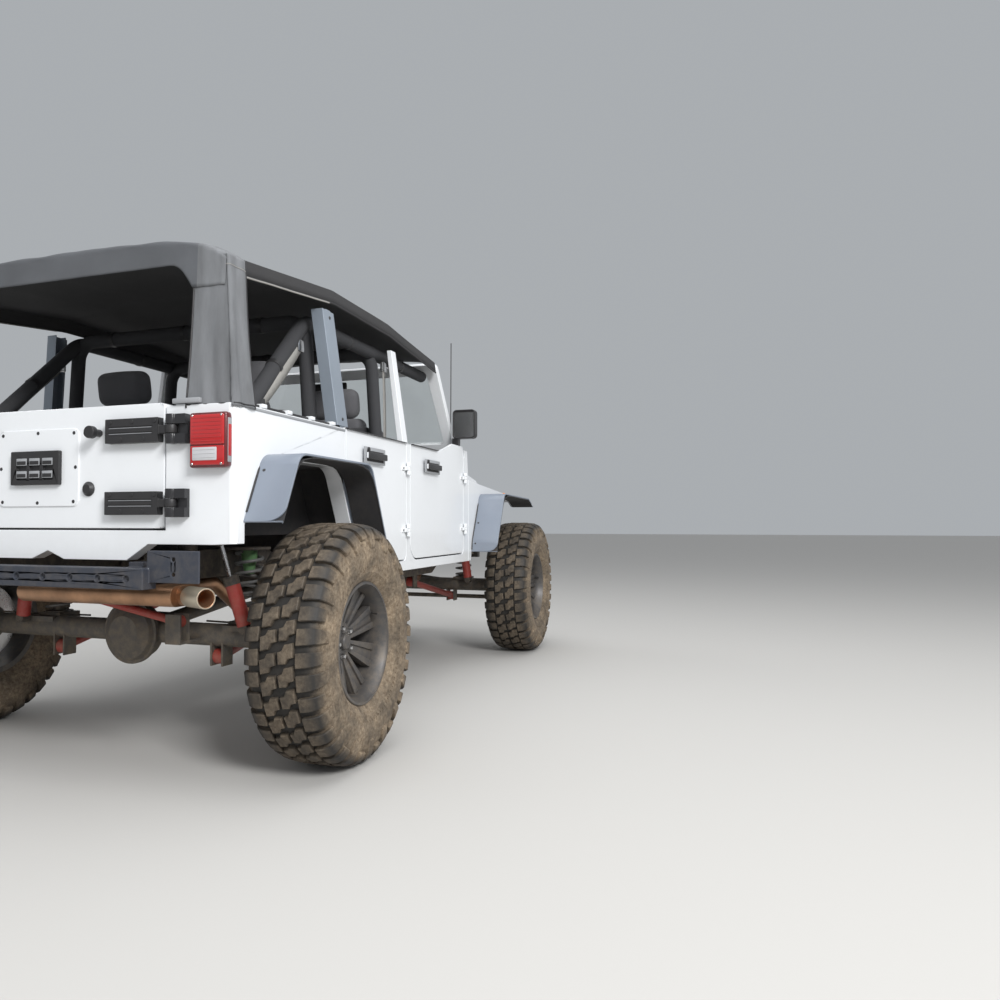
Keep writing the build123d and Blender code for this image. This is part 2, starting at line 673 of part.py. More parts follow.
# Body sides: quarter panels, B-pillars, sills and cowl sides, cut for the doors and rear wheels
pillar_x = (pillar_front + pillar_rear) / 2
with BuildPart() as body_sides:
    with BuildSketch(side_plane(1, side_in)):
        with BuildLine():
            Polyline((tub_end, cargo_z - 38), (tub_end, belt_z), (front_door_front + 25, belt_z),
                     (front_door_front + 25, cowl_z), (hood_rear - 8, cowl_z), (cowl_x, cowl_z - 165),
                     (cowl_x, rocker_z), (tub_end, rocker_z), close=True)
        make_face()
    extrude(amount=-wall)
    for door in (front_door, rear_door):
        with BuildSketch(side_plane(1, side_in - 1)):
            outline(door)
            offset(amount=door_gap)
        extrude(amount=-wall - 2, mode=Mode.SUBTRACT)
    slab((front_door_rear, front_door_front), (side_in, side_y), (belt_z - 40, belt_z + 20), Mode.SUBTRACT)
    slab((rear_door_rear, rear_door_front), (side_in, side_y), (belt_z - 40, belt_z + 20), Mode.SUBTRACT)
    with BuildSketch(side_plane(1, side_in - 1)):
        outline(rear_arch)
    extrude(amount=-wall - 2, mode=Mode.SUBTRACT)
    # inner part of the sills
    slab((step_x, firewall_x), (sill_y, side_in), (rocker_z, sill_z))
    # upper B-pillar, leaning in to the sport bar
    with BuildSketch(Plane.XY.offset(belt_z)):
        with Locations((pillar_x, side_y - 30)):
            Rectangle(70, 30)
    with BuildSketch(Plane.XY.offset(belt_z + 480)):
        with Locations((pillar_x, side_y - 95)):
            Rectangle(60, 24)
    loft()
    mirror(about=Plane.XZ)
save(body_sides, "body_sides")

# Rear panel: corners beside the tailgate and the scalloped panel below it
scallop_z = cargo_z - 42
# Lower edge from the right corner to the middle, and back up on the left
scallop = [(side_y, scallop_z + 4), (side_y - 90, scallop_z), (440, scallop_z), (352, scallop_z - 56),
           (73, scallop_z - 56)]
with BuildPart() as rear_panel:
    with BuildSketch(Plane.YZ.offset(-rear_face)):
        with BuildLine():
            gate_edge = gate_y + door_gap
            Polyline((-side_y, belt_z), *[(-y, z) for y, z in scallop], (0, scallop_z - 26), *reversed(scallop),
                     (side_y, belt_z), (gate_edge, belt_z), (gate_edge, gate_bottom - door_gap),
                     (-gate_edge, gate_bottom - door_gap), (-gate_edge, belt_z), close=True)
        make_face()
    extrude(amount=rear_wall)
    corners = rear_panel.edges().filter_by(Axis.Z).filter_by(lambda e: abs(e.center().Y) > side_y - 1)
    fillet(corners.filter_by(lambda e: e.center().X < -rear_face + 1), radius=26)
save(rear_panel, "rear_panel")

# Tailgate with the cover plate over the spare wheel's mount
plate_t = 5
plate_y = (-142, 235)
plate_z = (belt_z - 341, belt_z - 61)
with BuildPart() as tailgate:
    with BuildSketch(Plane.YZ.offset(-rear_face)):
        with Locations((0, (gate_bottom + gate_top) / 2)):
            RectangleRounded(2 * gate_y, gate_top - gate_bottom, 18)
    extrude(amount=gate_depth)
    with BuildSketch(Plane.YZ.offset(-rear_face - plate_t)):
        with Locations((sum(plate_y) / 2, sum(plate_z) / 2)):
            RectangleRounded(plate_y[1] - plate_y[0], plate_z[1] - plate_z[0], 28)
    extrude(amount=plate_t)
save(tailgate, "tailgate")

# Tailgate hardware: hinge straps, louvred vent and the two stops of the spare wheel
strap_out = 30
vent_y = (-66, 157)
vent_z = (belt_z - 263, belt_z - 140)
# Stops: y, z
stops = [(-232, belt_z - 84), (306, belt_z - 58)]
with BuildPart() as tailgate_hardware:
    for low, height in gate_hinges:
        third = height / 3
        strap = across(-1, 279, gate_y - 4)
        slab((-rear_face - strap_out, -rear_face), strap, (low + 8, low + height - 8))
        # two long grooves in the cover
        for z in (low + 0.4 * height, low + 0.6 * height):
            slab((-rear_face - strap_out, -rear_face - strap_out + 3), across(-1, 292, gate_y - 30), (z - 3, z + 3),
                 Mode.SUBTRACT)
        slab((gate_pin_x - 8, gate_pin_x + 12), (gate_pin_y, -gate_y + 10), (low + third + 2, low + 2 * third - 2))
        rod((gate_pin_x, gate_pin_y, low + third + 2), (gate_pin_x, gate_pin_y, low + 2 * third - 2), gate_barrel)
    slab((-rear_face - 22, -rear_face - plate_t), vent_y, vent_z)
    # louvres: three columns in two rows
    with BuildSketch(Plane.YZ.offset(-rear_face - 22)):
        with Locations((sum(vent_y) / 2, sum(vent_z) / 2 - 14)):
            with GridLocations(62, 36, 3, 2):
                RectangleRounded(48, 22, 6)
    extrude(amount=10, mode=Mode.SUBTRACT)
    for y, z in stops:
        rod((-rear_face - 34, y, z), (-rear_face, y, z), 13)
        rod((-rear_face - 58, y, z), (-rear_face - 34, y, z), 22)
save(tailgate_hardware, "tailgate_hardware")

# Fixed hinge leaves of the tailgate, doors and hood
door_pin_x = {"front": front_door_front + 3, "rear": rear_door_front + 3}
hood_pin_x = hood_rear - 4
hood_pin_z = cowl_z + 10
hood_pin_y = side_y - 310
hood_pin_radius = 9
with BuildPart() as hinge_leaves:
    for low, height in gate_hinges:
        third = height / 3
        slab((-rear_face - 14, -rear_face), (gate_pin_y - 60, gate_pin_y - 20), (low, low + height))
        for z0 in (low, low + 2 * third):
            slab((gate_pin_x - 8, gate_pin_x + 8), (gate_pin_y - 60, gate_pin_y), (z0, z0 + third))
            rod((gate_pin_x, gate_pin_y, z0), (gate_pin_x, gate_pin_y, z0 + third), gate_barrel)
    third = hinge_height / 3
    for side in (1, -1):
        pin_y = side * (side_y + pin_out)
        for pin_x in door_pin_x.values():
            for z in door_hinge_z:
                low = z - hinge_height / 2
                slab((pin_x + 13, pin_x + 34), across(side, side_y, side_y + 7), (low, low + hinge_height))
                for z0 in (low, low + 2 * third):
                    slab((pin_x, pin_x + 34), across(side, side_y + 4, side_y + 16), (z0, z0 + third))
                    rod((pin_x, pin_y, z0), (pin_x, pin_y, z0 + third), hinge_radius)
        for y0 in (hood_pin_y - 41, hood_pin_y + 21):
            slab((hood_pin_x - 40, hood_pin_x), across(side, y0, y0 + 20), (cowl_z, cowl_z + 6))
            rod((hood_pin_x, side * y0, hood_pin_z), (hood_pin_x, side * (y0 + 20), hood_pin_z), hood_pin_radius)
save(hinge_leaves, "hinge_leaves")

# Half doors: skin, inner box, hinge straps and a handle on two posts
# Columns: name, corners, handle's rear end
doors = [("front", front_door, front_door_rear + 197), ("rear", rear_door, rear_door_rear + 175)]
for door_name, corners, handle_x in doors:
    pin_x = door_pin_x[door_name]
    for side_name, side in (("left", 1), ("right", -1)):
        with BuildPart() as door:
            with BuildSketch(side_plane(side, side_y)):
                outline(corners)
            extrude(amount=side * skin)
            with BuildSketch(side_plane(side, side_y - skin)):
                outline(corners)
                offset(amount=-door_inset)
            extrude(amount=side * (door_depth - skin))
            for z in door_hinge_z:
                half = hinge_height / 6 - 0.5
                pin_y = side * (side_y + pin_out)
                slab((pin_x - 60, pin_x - 5), across(side, side_y, side_y + 7), (z - half, z + half))
                slab((pin_x - 30, pin_x), across(side, side_y, side_y + 16), (z - half, z + half))
                rod((pin_x, pin_y, z - half), (pin_x, pin_y, z + half), hinge_radius)
            slab((handle_x, handle_x + handle_length), across(side, side_y + 18, side_y + 34),
                 (handle_z, handle_z + 26))
            for x in (handle_x + 8, handle_x + handle_length - 38):
                slab((x, x + 30), across(side, side_y, side_y + 20), (handle_z + 3, handle_z + 23))
        save(door, "door_" + door_name + "_" + side_name)

# Door mirrors: housing with its recessed face, on a short arm
mirror_x = front_door_front - 105
for side_name, side in (("left", 1), ("right", -1)):
    with BuildPart() as door_mirror:
        slab((mirror_x, mirror_x + 60), across(side, side_y - 34, side_y + 109), (mirror_z + 40, mirror_z + 215))
        fillet(door_mirror.edges().filter_by(Axis.X), radius=24)
        fillet(door_mirror.faces().sort_by(Axis.X)[-1].edges(), radius=16)
        with BuildSketch(Plane.YZ.offset(mirror_x)):
            with Locations((side * (side_y + 37.5), mirror_z + 127.5)):
                RectangleRounded(125, 157, 18)
        extrude(amount=5, mode=Mode.SUBTRACT)
        slab((mirror_x + 10, mirror_x + 50), across(side, side_y - 40, side_y), (mirror_z, mirror_z + 45))
    save(door_mirror, "mirror_" + side_name)


# Hood: crowned shell with straps to its hinges at the cowl
# Stations: x, half width, height of the crown, how far the skirt drops below the belt's skirt line
hood_stations = [(hood_rear, hood_rear_y, hood_rear_z, 0),
                 (hood_front - 170, hood_front_y + 22, hood_front_z + 32, 38),
                 (hood_front, hood_front_y, hood_front_z, 50)]


def hood_section(x, half_width, top, drop):
    with BuildSketch(Plane.YZ.offset(x)) as section:
        with BuildLine():
            Polyline((-half_width, hood_skirt_z - drop), (-half_width, top - 40), (-half_width + 70, top - 12))
            ThreePointArc((-half_width + 70, top - 12), (0, top), (half_width - 70, top - 12))
            Polyline((half_width - 70, top - 12), (half_width, top - 40), (half_width, hood_skirt_z - drop),
                     (-half_width, hood_skirt_z - drop))
        make_face()
    return section.sketch


with BuildPart() as hood:
    loft([hood_section(*station) for station in hood_stations], ruled=True)
    inner = []
    for (x, half_width, top, drop), shift in zip(hood_stations, (-1, 0, -hood_t)):
        inner.append(hood_section(x + shift, half_width - hood_t, top - hood_t, drop + 1))
    loft(inner, ruled=True, mode=Mode.SUBTRACT)
    for side in (1, -1):
        slab((hood_pin_x, hood_rear + 70), across(side, hood_pin_y - 19, hood_pin_y + 19), (cowl_z - 24, cowl_z + 5))
        rod((hood_pin_x, side * (hood_pin_y - 19), hood_pin_z), (hood_pin_x, side * (hood_pin_y + 19), hood_pin_z),
            hood_pin_radius)
save(hood, "hood")

# Grille panel with narrow upright slots, and the radiator behind it
grille_top = hood_front_z - 60
core_y = 300
with BuildPart() as grille:
    with BuildSketch(Plane.YZ.offset(grille_front - grille_t)):
        with BuildLine():
            Polyline((-hood_front_y + 80, grille_bottom), (-hood_front_y - 10, grille_bottom + 190),
                     (-hood_front_y, grille_top), (hood_front_y, grille_top),
                     (hood_front_y + 10, grille_bottom + 190), (hood_front_y - 80, grille_bottom), close=True)
        make_face()
        with Locations((0, grille_bottom + 160)):
            with GridLocations(58, 1, grille_slots, 1):
                SlotOverall(230, 34, rotation=90, mode=Mode.SUBTRACT)
        with Locations((-lamp_y, lamp_z), (lamp_y, lamp_z)):
            Circle(lamp_radius + 6, mode=Mode.SUBTRACT)
    extrude(amount=grille_t)
    back = grille_front - grille_t
    slab((back - 50, back - 20), (-core_y, core_y), (grille_bottom - 50, grille_bottom + 250))
    for side in (1, -1):
        slab((back - 50, back), across(side, core_y - 15, core_y), (grille_bottom - 30, grille_bottom + 250))
        slab((back - 50, back), across(side, rail_in - 30, rail_in), (rail_front_z + rail_height, grille_bottom + 10))
save(grille, "grille")

# Lamps: round headlamps, and tail lamps with rounded corners
tail_out = 45
with BuildPart() as lamps:
    for side in (1, -1):
        rod((back - 10, side * lamp_y, lamp_z), (grille_front + 8, side * lamp_y, lamp_z), lamp_radius)
        with BuildSketch(Plane.YZ.offset(-rear_face - tail_out)):
            with Locations((side * (side_y - 84), belt_z - 126)):
                RectangleRounded(147, 185, 14)
        extrude(amount=tail_out)
save(lamps, "lamps")

# Front fenders: outer side behind the wheel and the slanted top over the inner arch
fender_in = hood_front_y + 10
with BuildPart() as front_fenders:
    with BuildSketch(side_plane(1, side_y - 40)):
        with BuildLine():
            Polyline((cowl_x + door_gap, rocker_z), (cowl_x + door_gap, belt_z - 132), (front_x - 613, belt_z - 150),
                     (front_x + 167, belt_z - 200), (front_x + 167, rocker_z), close=True)
        make_face()
    extrude(amount=-40)
    with BuildSketch(side_plane(1, side_y - 41)):
        outline(front_arch)
    extrude(amount=-42, mode=Mode.SUBTRACT)
    with BuildSketch(side_plane(1, fender_in)):
        with BuildLine():
            Polyline((cowl_x + door_gap, belt_z - 154), (cowl_x + door_gap, belt_z - 139),
                     (front_x - 613, belt_z - 154), (front_x + 167, belt_z - 202), (front_x + 167, belt_z - 220),
                     (front_x - 613, belt_z - 169), close=True)
        make_face()
    extrude(amount=-(side_y - 40 - fender_in))
    mirror(about=Plane.XZ)
save(front_fenders, "front_fenders")

# Steel fender flares: a plate bent along each wheel opening, its free corners rounded
flare_t = 8
flare_corner = 60
rear_flare_y = side_y + 150
front_flare_y = side_y + 170
# Bends of the plates in the side view
rear_flare = [
    (rear_x + arch_ahead - 15, sill_z + 12), (rear_x + arch_ahead - 40, sill_z + 72),
    (rear_x + arch_ahead - 220, arch_z + 8), (rear_x - arch_behind + 135, arch_z + 8),
    (rear_x - arch_behind + 15, cargo_z + 37),
]
front_flare = [
    (cowl_x + 70, sill_z + 12), (cowl_x + 80, sill_z + 72), (front_x - 601, belt_z - 215),
    (front_x + 87, belt_z - 230), (front_x + 227, belt_z - 280),
]
with BuildPart() as fender_flares:
    for bends, flare_y in ((rear_flare, rear_flare_y), (front_flare, front_flare_y)):
        with BuildSketch(side_plane(1, side_y)):
            with BuildLine():
                line = FilletPolyline(*bends, radius=70)
                offset(line, amount=flare_t / 2, closed=True, side=Side.BOTH, mode=Mode.REPLACE)
            make_face()
        extrude(amount=-(flare_y - side_y))
        # each free corner is rounded by cutting away a small square less a circle
        for tip, before in ((bends[0], bends[1]), (bends[-1], bends[-2])):
            run = Vector(before[0] - tip[0], 0, before[1] - tip[1]).normalized()
            across_plate = run.cross(Vector(0, -1, 0))
            with BuildSketch(Plane(origin=(tip[0], flare_y, tip[1]), x_dir=run, z_dir=across_plate)):
                Rectangle(flare_corner, flare_corner, align=Align.MIN)
                with Locations((flare_corner, flare_corner)):
                    Circle(flare_corner, mode=Mode.SUBTRACT)
            extrude(amount=12, both=True, mode=Mode.SUBTRACT)
    mirror(about=Plane.XZ)
save(fender_flares, "fender_flares")

# Windscreen frame and its glass, leaning back from the cowl
screen_lean = degrees(atan2(screen_base_x - screen_top_x, screen_top_z - cowl_z))
screen_length = hypot(screen_base_x - screen_top_x, screen_top_z - cowl_z)
screen_plane = Plane(origin=(screen_base_x, 0, cowl_z), x_dir=(0, 1, 0),
                     z_dir=(cos(radians(screen_lean)), 0, sin(radians(screen_lean))))


def screen_outline(inset):
    with BuildLine() as edge:
        Polyline((-screen_base_y + inset, inset), (-screen_top_y + inset, screen_length - inset),
                 (screen_top_y - inset, screen_length - inset), (screen_base_y - inset, inset), close=True)
    make_face(edge.edges())


with BuildPart() as windshield_frame:
    with BuildSketch(screen_plane):
        screen_outline(0)
        fillet(vertices().group_by(Axis.Z)[-1], radius=40)
    extrude(amount=-screen_t)
    with BuildSketch(screen_plane):
        screen_outline(screen_rail)
        fillet(vertices(), radius=30)
    extrude(amount=-screen_t, mode=Mode.SUBTRACT)
    slab((screen_base_x - 200, screen_base_x + 100), (-side_y, side_y), (cowl_z - 200, cowl_z), Mode.SUBTRACT)
save(windshield_frame, "windshield_frame")

with BuildPart() as windshield_glass:
    with BuildSketch(screen_plane.offset(-12)):
        screen_outline(screen_rail)
        fillet(vertices(), radius=30)
    extrude(amount=-6)
save(windshield_glass, "windshield_glass")

# Sport bar: two hoops, side bars and diagonal rear tubes, all padded
with BuildPart() as sport_bar:
    for x, foot in ((hoop_front_x, sill_z), (hoop_rear_x, arch_z + sheet)):
        tube([(x, -bar_y, foot), (x, -bar_y, belt_z), (x, -bar_top_y, bar_z), (x, bar_top_y, bar_z),
              (x, bar_y, belt_z), (x, bar_y, foot)], [200, 90, 90, 200], bar_radius)
    for side in (1, -1):
        tube([(screen_top_x - 28, side * bar_top_y, bar_z), (hoop_rear_x, side * bar_top_y, bar_z),
              (tub_end + 39, side * bar_y, arch_z)], [160], bar_radius)
    slab((-reach, hoop_rear_x - 120), (-side_y, side_y), (arch_z - 100, arch_z + sheet), Mode.SUBTRACT)
save(sport_bar, "sport_bar")

# Soft-top frame: slanted angle-section uprights behind the rear doors
upright_x = rear_door_rear - 52
upright_depth = 44
with BuildPart() as soft_top_frame:
    for inset, mode in ((0, Mode.ADD), (6, Mode.SUBTRACT)):
        with BuildSketch(Plane.XY.offset(belt_z - inset)):
            with Locations((upright_x - inset, side_y - 40 - inset)):
                Rectangle(upright_depth, 40, align=Align.MIN)
        with BuildSketch(Plane.XY.offset(belt_z + 500 + inset)):
            with Locations((upright_x - 28 - inset, side_y - 92 - inset)):
                Rectangle(upright_depth, 34, align=Align.MIN)
        loft(mode=mode)
    mirror(about=Plane.XZ)
save(soft_top_frame, "soft_top_frame")

# Soft top's roof: shell lofted through cross arches
roof_t = 24
roof_side = 14               # thickness of the skirts
roof_crown = 45
header_x = -rear_face + 7 + header_depth     # front edge of the rear corners
# Arches: x, edge height, half width, skirt below the edge
roof_arches = [
    (screen_top_x - 50, belt_z + 541, side_y - 85, 40), (pillar_x - 90, belt_z + 598, side_y - 70, 40),
    (hoop_rear_x + 30, belt_z + 598, side_y - 58, 44), (header_x + 3, belt_z + 545, side_y - 50, 75),
]


def roof_arch(x, edge, half, skirt):
    with BuildSketch(Plane.YZ.offset(x)) as section:
        with BuildLine():
            top = ThreePointArc((-half, edge), (0, edge + roof_crown), (half, edge))
            Polyline(top @ 1, (half, edge - skirt), (-half, edge - skirt), top @ 0)
        make_face()
    return section.sketch


with BuildPart() as soft_top_roof:
    loft([roof_arch(*arch) for arch in roof_arches], ruled=True)
    inner = [roof_arch(x + shift, edge - roof_t, half - roof_side, skirt)
             for (x, edge, half, skirt), shift in zip(roof_arches, (2, 0, 0, -2))]
    loft(inner, ruled=True, mode=Mode.SUBTRACT)
save(soft_top_roof, "soft_top_roof")

# Soft top's rear: rounded corners and header round the open rear window
header_top = belt_z + 592
edge_round = 24              # rounding of the shell's rear edge
rear_cloth = -rear_face + 7


def rear_section(x, inset, low):
    """Cross-section of the soft top's rear, inset from its outer line and open to the belt."""
    foot = side_y - 4 - inset
    shoulder = belt_z + 460 - inset
    corner = belt_z + 560 - inset
    with BuildSketch(Plane.YZ.offset(x)) as section:
        with BuildLine():
            line = FilletPolyline((foot, low), (foot - 26, shoulder), (foot - 106, corner), (0, header_top - inset),
                                  (106 - foot, corner), (26 - foot, shoulder), (-foot, low),
                                  radius=[60, 60, 400, 60, 60])
            Line(line @ 1, line @ 0)
        make_face()
    return section.sketch


with BuildPart() as soft_top_rear:
    # outer form, then the hollow inside it
    for depth, low, mode in ((0, belt_z + 2, Mode.ADD), (cloth_t, belt_z - 20, Mode.SUBTRACT)):
        behind = rear_section(rear_cloth + depth, edge_round + depth / 2, low)
        ahead = rear_section(rear_cloth + edge_round, depth, low)
        loft([behind, ahead], ruled=True, mode=mode)
        extrude(ahead, amount=header_depth - edge_round, mode=mode)
    # rear window opening
    with BuildSketch(Plane.YZ.offset(-reach)):
        with BuildLine():
            FilletPolyline((side_y - 205, belt_z - 50), (side_y - 178, belt_z + 508), (-side_y + 178, belt_z + 508),
                           (-side_y + 205, belt_z - 50), radius=75, close=True)
        make_face()
    extrude(amount=reach - rear_face + 60, mode=Mode.SUBTRACT)
save(soft_top_rear, "soft_top_rear")

# Dashboard with the steering column
column_lean = 24
wheel_centre = Vector(firewall_x - 310, 385, belt_z - 100)
column_dir = Vector(cos(radians(column_lean)), 0, -sin(radians(column_lean)))
with BuildPart() as dashboard:
    slab((firewall_x - 180, firewall_x), (-side_in + 20, side_in - 20), (belt_z - 170, belt_z - 10))
    fillet(dashboard.edges().filter_by(Axis.Y).sort_by(Axis.X)[0:2], radius=50)
    rod(tuple(wheel_centre + column_dir * 40), tuple(wheel_centre + column_dir * 310), 30)
save(dashboard, "dashboard")

wheel_radius = 180
grip = 15
wheel_plane = Plane(origin=wheel_centre, x_dir=(0, 1, 0), z_dir=-column_dir)
with BuildPart(wheel_plane) as steering_wheel:
    with BuildSketch(Plane(origin=wheel_centre, x_dir=(0, 1, 0), z_dir=column_dir.cross(Vector(0, 1, 0)))):
        with Locations((wheel_radius, 0)):
            RegularPolygon(grip, 8)
    revolve(axis=Axis(wheel_centre, -column_dir))
    Cylinder(55, 30)
    with PolarLocations(115, 3, start_angle=-90):
        Box(130, 30, 14)
    with Locations((0, 0, -25)):
        Cylinder(14, 20)
save(steering_wheel, "steering_wheel")


# Seats: cushion, raked back and headrests on posts
def seat(middle_y, width, x, length, z, head_places):
    back_top = belt_z + 160
    low_y = middle_y - width / 2
    slab((x, x + length), (low_y, low_y + width), (z, z + 150))
    with BuildSketch(side_plane(1, low_y)) as back:
        with BuildLine() as edge:
            Polyline((x, z + 60), (x + 120, z + 150), (x + 20, back_top), (x - 90, back_top), (x - 60, z + 60),
                     close=True)
        make_face(edge.edges())
    extrude(back.sketch, amount=-width)
    for y in head_places:
        slab((x - 75, x + 5), (y - 115, y + 115), (back_top + 20, back_top + 149))
        for post_y in (y - 50, y + 50):
            rod((x - 40, post_y, back_top - 10), (x - 40, post_y, back_top + 30), 7)


seat_y = 370
with BuildPart() as front_seats:
    for y in (-seat_y, seat_y):
        seat(y, 480, pillar_front + 57, 460, sill_z + 172, [y])
        slab((pillar_front + 117, pillar_front + 477), (y - 160, y + 160), (sill_z, sill_z + 172))
save(front_seats, "front_seats")

with BuildPart() as rear_seat:
    seat(0, 1020, hoop_rear_x + 50, 440, sill_z + 222, [-330, 330])
    slab((step_x + 60, step_x + 240), (-400, 400), (sill_z, sill_z + 222))
save(rear_seat, "rear_seat")

# Antenna on the right cowl
with BuildPart() as antenna:
    foot = (screen_base_x + 30, -side_y + 100)
    rod((*foot, cowl_z), (*foot, cowl_z + 25), 14)
    rod((*foot, cowl_z + 20), (foot[0] - 20, foot[1] - 10, belt_z + 720), 3)
save(antenna, "antenna")
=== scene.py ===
# %% [markdown]
# This lesson dresses a lifted off-road 4x4 in Blender. The solid model comes in as a fixed frame: its pieces
# are already at their real size and place, in metres, with +X forward, +Y to the vehicle's left and +Z up.
# Nothing in that frame is moved. We give each piece a finish, and build what a solid modeller leaves out:
# tread, cloth, lamps, seams, bolts and dirt.

# %% Load the frame
import math

import bmesh
import bpy
from mathutils import Matrix, Vector, noise


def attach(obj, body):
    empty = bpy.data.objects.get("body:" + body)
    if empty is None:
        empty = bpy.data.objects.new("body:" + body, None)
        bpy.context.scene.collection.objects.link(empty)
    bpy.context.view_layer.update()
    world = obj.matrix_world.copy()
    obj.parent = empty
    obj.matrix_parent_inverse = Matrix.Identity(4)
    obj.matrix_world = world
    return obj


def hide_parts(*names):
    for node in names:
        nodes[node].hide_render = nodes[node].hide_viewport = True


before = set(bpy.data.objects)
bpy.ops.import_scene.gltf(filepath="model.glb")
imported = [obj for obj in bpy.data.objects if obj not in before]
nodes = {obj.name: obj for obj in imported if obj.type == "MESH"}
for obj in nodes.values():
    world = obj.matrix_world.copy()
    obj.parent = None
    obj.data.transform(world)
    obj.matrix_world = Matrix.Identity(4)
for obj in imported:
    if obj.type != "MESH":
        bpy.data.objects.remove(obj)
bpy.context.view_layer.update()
scene = bpy.context.scene
scene.view_settings.view_transform = "Standard"

# %% [markdown]
# A finish is never one flat colour. Paint has soft dust on it, cast parts have grain, and everything is
# dirtier near the ground. All of that can be worked out from the point's own place on the object, so one
# function makes every plain finish. It reads Object coordinates, which stay with a piece when it moves.
# The numbers that don't vary are set on the shader itself, because they survive an export that way.

# %% One function for dusty finishes
DUST = (0.34, 0.27, 0.19)
MUDDIEST = 0.25  # under this height, in metres, the dust is thickest
FILM = 0.3  # part of the dust that lies everywhere


def link(source, out, target, into):
    source.id_data.links.new(source.outputs[out], target.inputs[into])


def node(tree, kind, **values):
    made = tree.nodes.new(kind)
    for key, value in values.items():
        if key in made.inputs:
            made.inputs[key].default_value = value
        else:
            setattr(made, key, value)
    return made


def blank(name):
    """New material, with its node tree and its shader."""
    made = bpy.data.materials.new(name)
    made.use_nodes = True
    return made, made.node_tree, made.node_tree.nodes["Principled BSDF"]


def ramp(tree, low, high, dark=(0, 0, 0, 1), light=(1, 1, 1, 1)):
    made = tree.nodes.new("ShaderNodeValToRGB")
    for end, position, colour in ((0, low, dark), (1, high, light)):
        made.color_ramp.elements[end].position = position
        made.color_ramp.elements[end].color = colour
    return made


def noisy(source, out, scale, detail, rough=0.5):
    made = node(source.id_data, "ShaderNodeTexNoise", Scale=scale, Detail=detail, Roughness=rough)
    link(source, out, made, "Vector")
    return made


def roughen(shader, source, out, low, high):
    """Roughness between two values, led by another node."""
    gloss = node(source.id_data, "ShaderNodeMapRange", **{"To Min": low, "To Max": high})
    link(source, out, gloss, "Value")
    link(gloss, "Result", shader, "Roughness")


def emboss(shader, source, strength, distance):
    relief = node(source.id_data, "ShaderNodeBump", Strength=strength, Distance=distance)
    link(source, "Fac", relief, "Height")
    link(relief, "Normal", shader, "Normal")


def shade(colour, factor):
    return tuple(min(1, c * factor) for c in colour[:3]) + (1,)


def finish(name, colour, rough=0.5, metal=0.0, spread=0.08, grain=400, bump=0.02, dust=0.15, mud_top=0.9,
           coat=0.0, stretch=(1, 1, 1), sheen=0.0, cloud_scale=3.0):
    """Colour with soft variation, fine grain, and dust that thickens towards the ground."""
    made, tree, shader = blank(name)
    for key, value in (("Metallic", metal), ("Coat Weight", coat), ("Sheen Weight", sheen)):
        shader.inputs[key].default_value = value
    place = node(tree, "ShaderNodeTexCoord")
    turn = node(tree, "ShaderNodeMapping", Scale=stretch)
    link(place, "Object", turn, "Vector")
    cloud = noisy(turn, "Vector", cloud_scale, 6.0, 0.6)
    tint = ramp(tree, 0.3, 0.7, shade(colour, 1 - spread), shade(colour, 1 + spread))
    link(cloud, "Fac", tint, "Fac")
    # dust: patches and a thin film, both thicker near the ground
    speck = noisy(turn, "Vector", 26.0, 9.0, 0.7)
    split = node(tree, "ShaderNodeSeparateXYZ")
    link(place, "Object", split, "Vector")
    height = node(tree, "ShaderNodeMapRange",
                  **{"From Min": MUDDIEST, "From Max": mud_top, "To Min": 1.0, "To Max": 0.12})
    link(split, "Z", height, "Value")
    patch = ramp(tree, 0.42, 0.72)
    link(speck, "Fac", patch, "Fac")
    film = node(tree, "ShaderNodeMath", operation="ADD")
    link(patch, "Color", film, 0)
    film.inputs[1].default_value = FILM
    amount = node(tree, "ShaderNodeMath", operation="MULTIPLY")
    link(film, "Value", amount, 0)
    link(height, "Result", amount, 1)
    share = node(tree, "ShaderNodeMath", operation="MULTIPLY", use_clamp=True)
    share.inputs[1].default_value = dust
    link(amount, "Value", share, 0)
    mix = node(tree, "ShaderNodeMix", data_type="RGBA")
    link(share, "Value", mix, 0)
    link(tint, "Color", mix, 6)
    mix.inputs[7].default_value = DUST + (1,)
    link(mix, 2, shader, "Base Color")
    roughen(shader, share, "Value", rough, min(1.0, rough + 0.45))
    emboss(shader, noisy(turn, "Vector", float(grain), 3.0), min(1, bump * 10), 0.001)
    return made


def clear(name, colour, rough):
    """Clear or tinted glass with a thin smear."""
    made, tree, shader = blank(name)
    shader.inputs["Transmission Weight"].default_value = 1.0
    shader.inputs["IOR"].default_value = 1.45
    film = noisy(node(tree, "ShaderNodeTexCoord"), "Object", 5.0, 5.0)
    tint = ramp(tree, 0.35, 0.8, tuple(colour) + (1,), shade(colour, 0.9))
    link(film, "Fac", tint, "Fac")
    link(tint, "Color", shader, "Base Color")
    roughen(shader, film, "Fac", rough, rough + 0.12)
    return made


# %% [markdown]
# Now the finishes themselves. Each one says how rough, grainy, cloudy and dusty it is on the real vehicle:
# body paint is smooth and nearly clean, a cast axle is rough and muddy, and cloth fades unevenly in the sun.

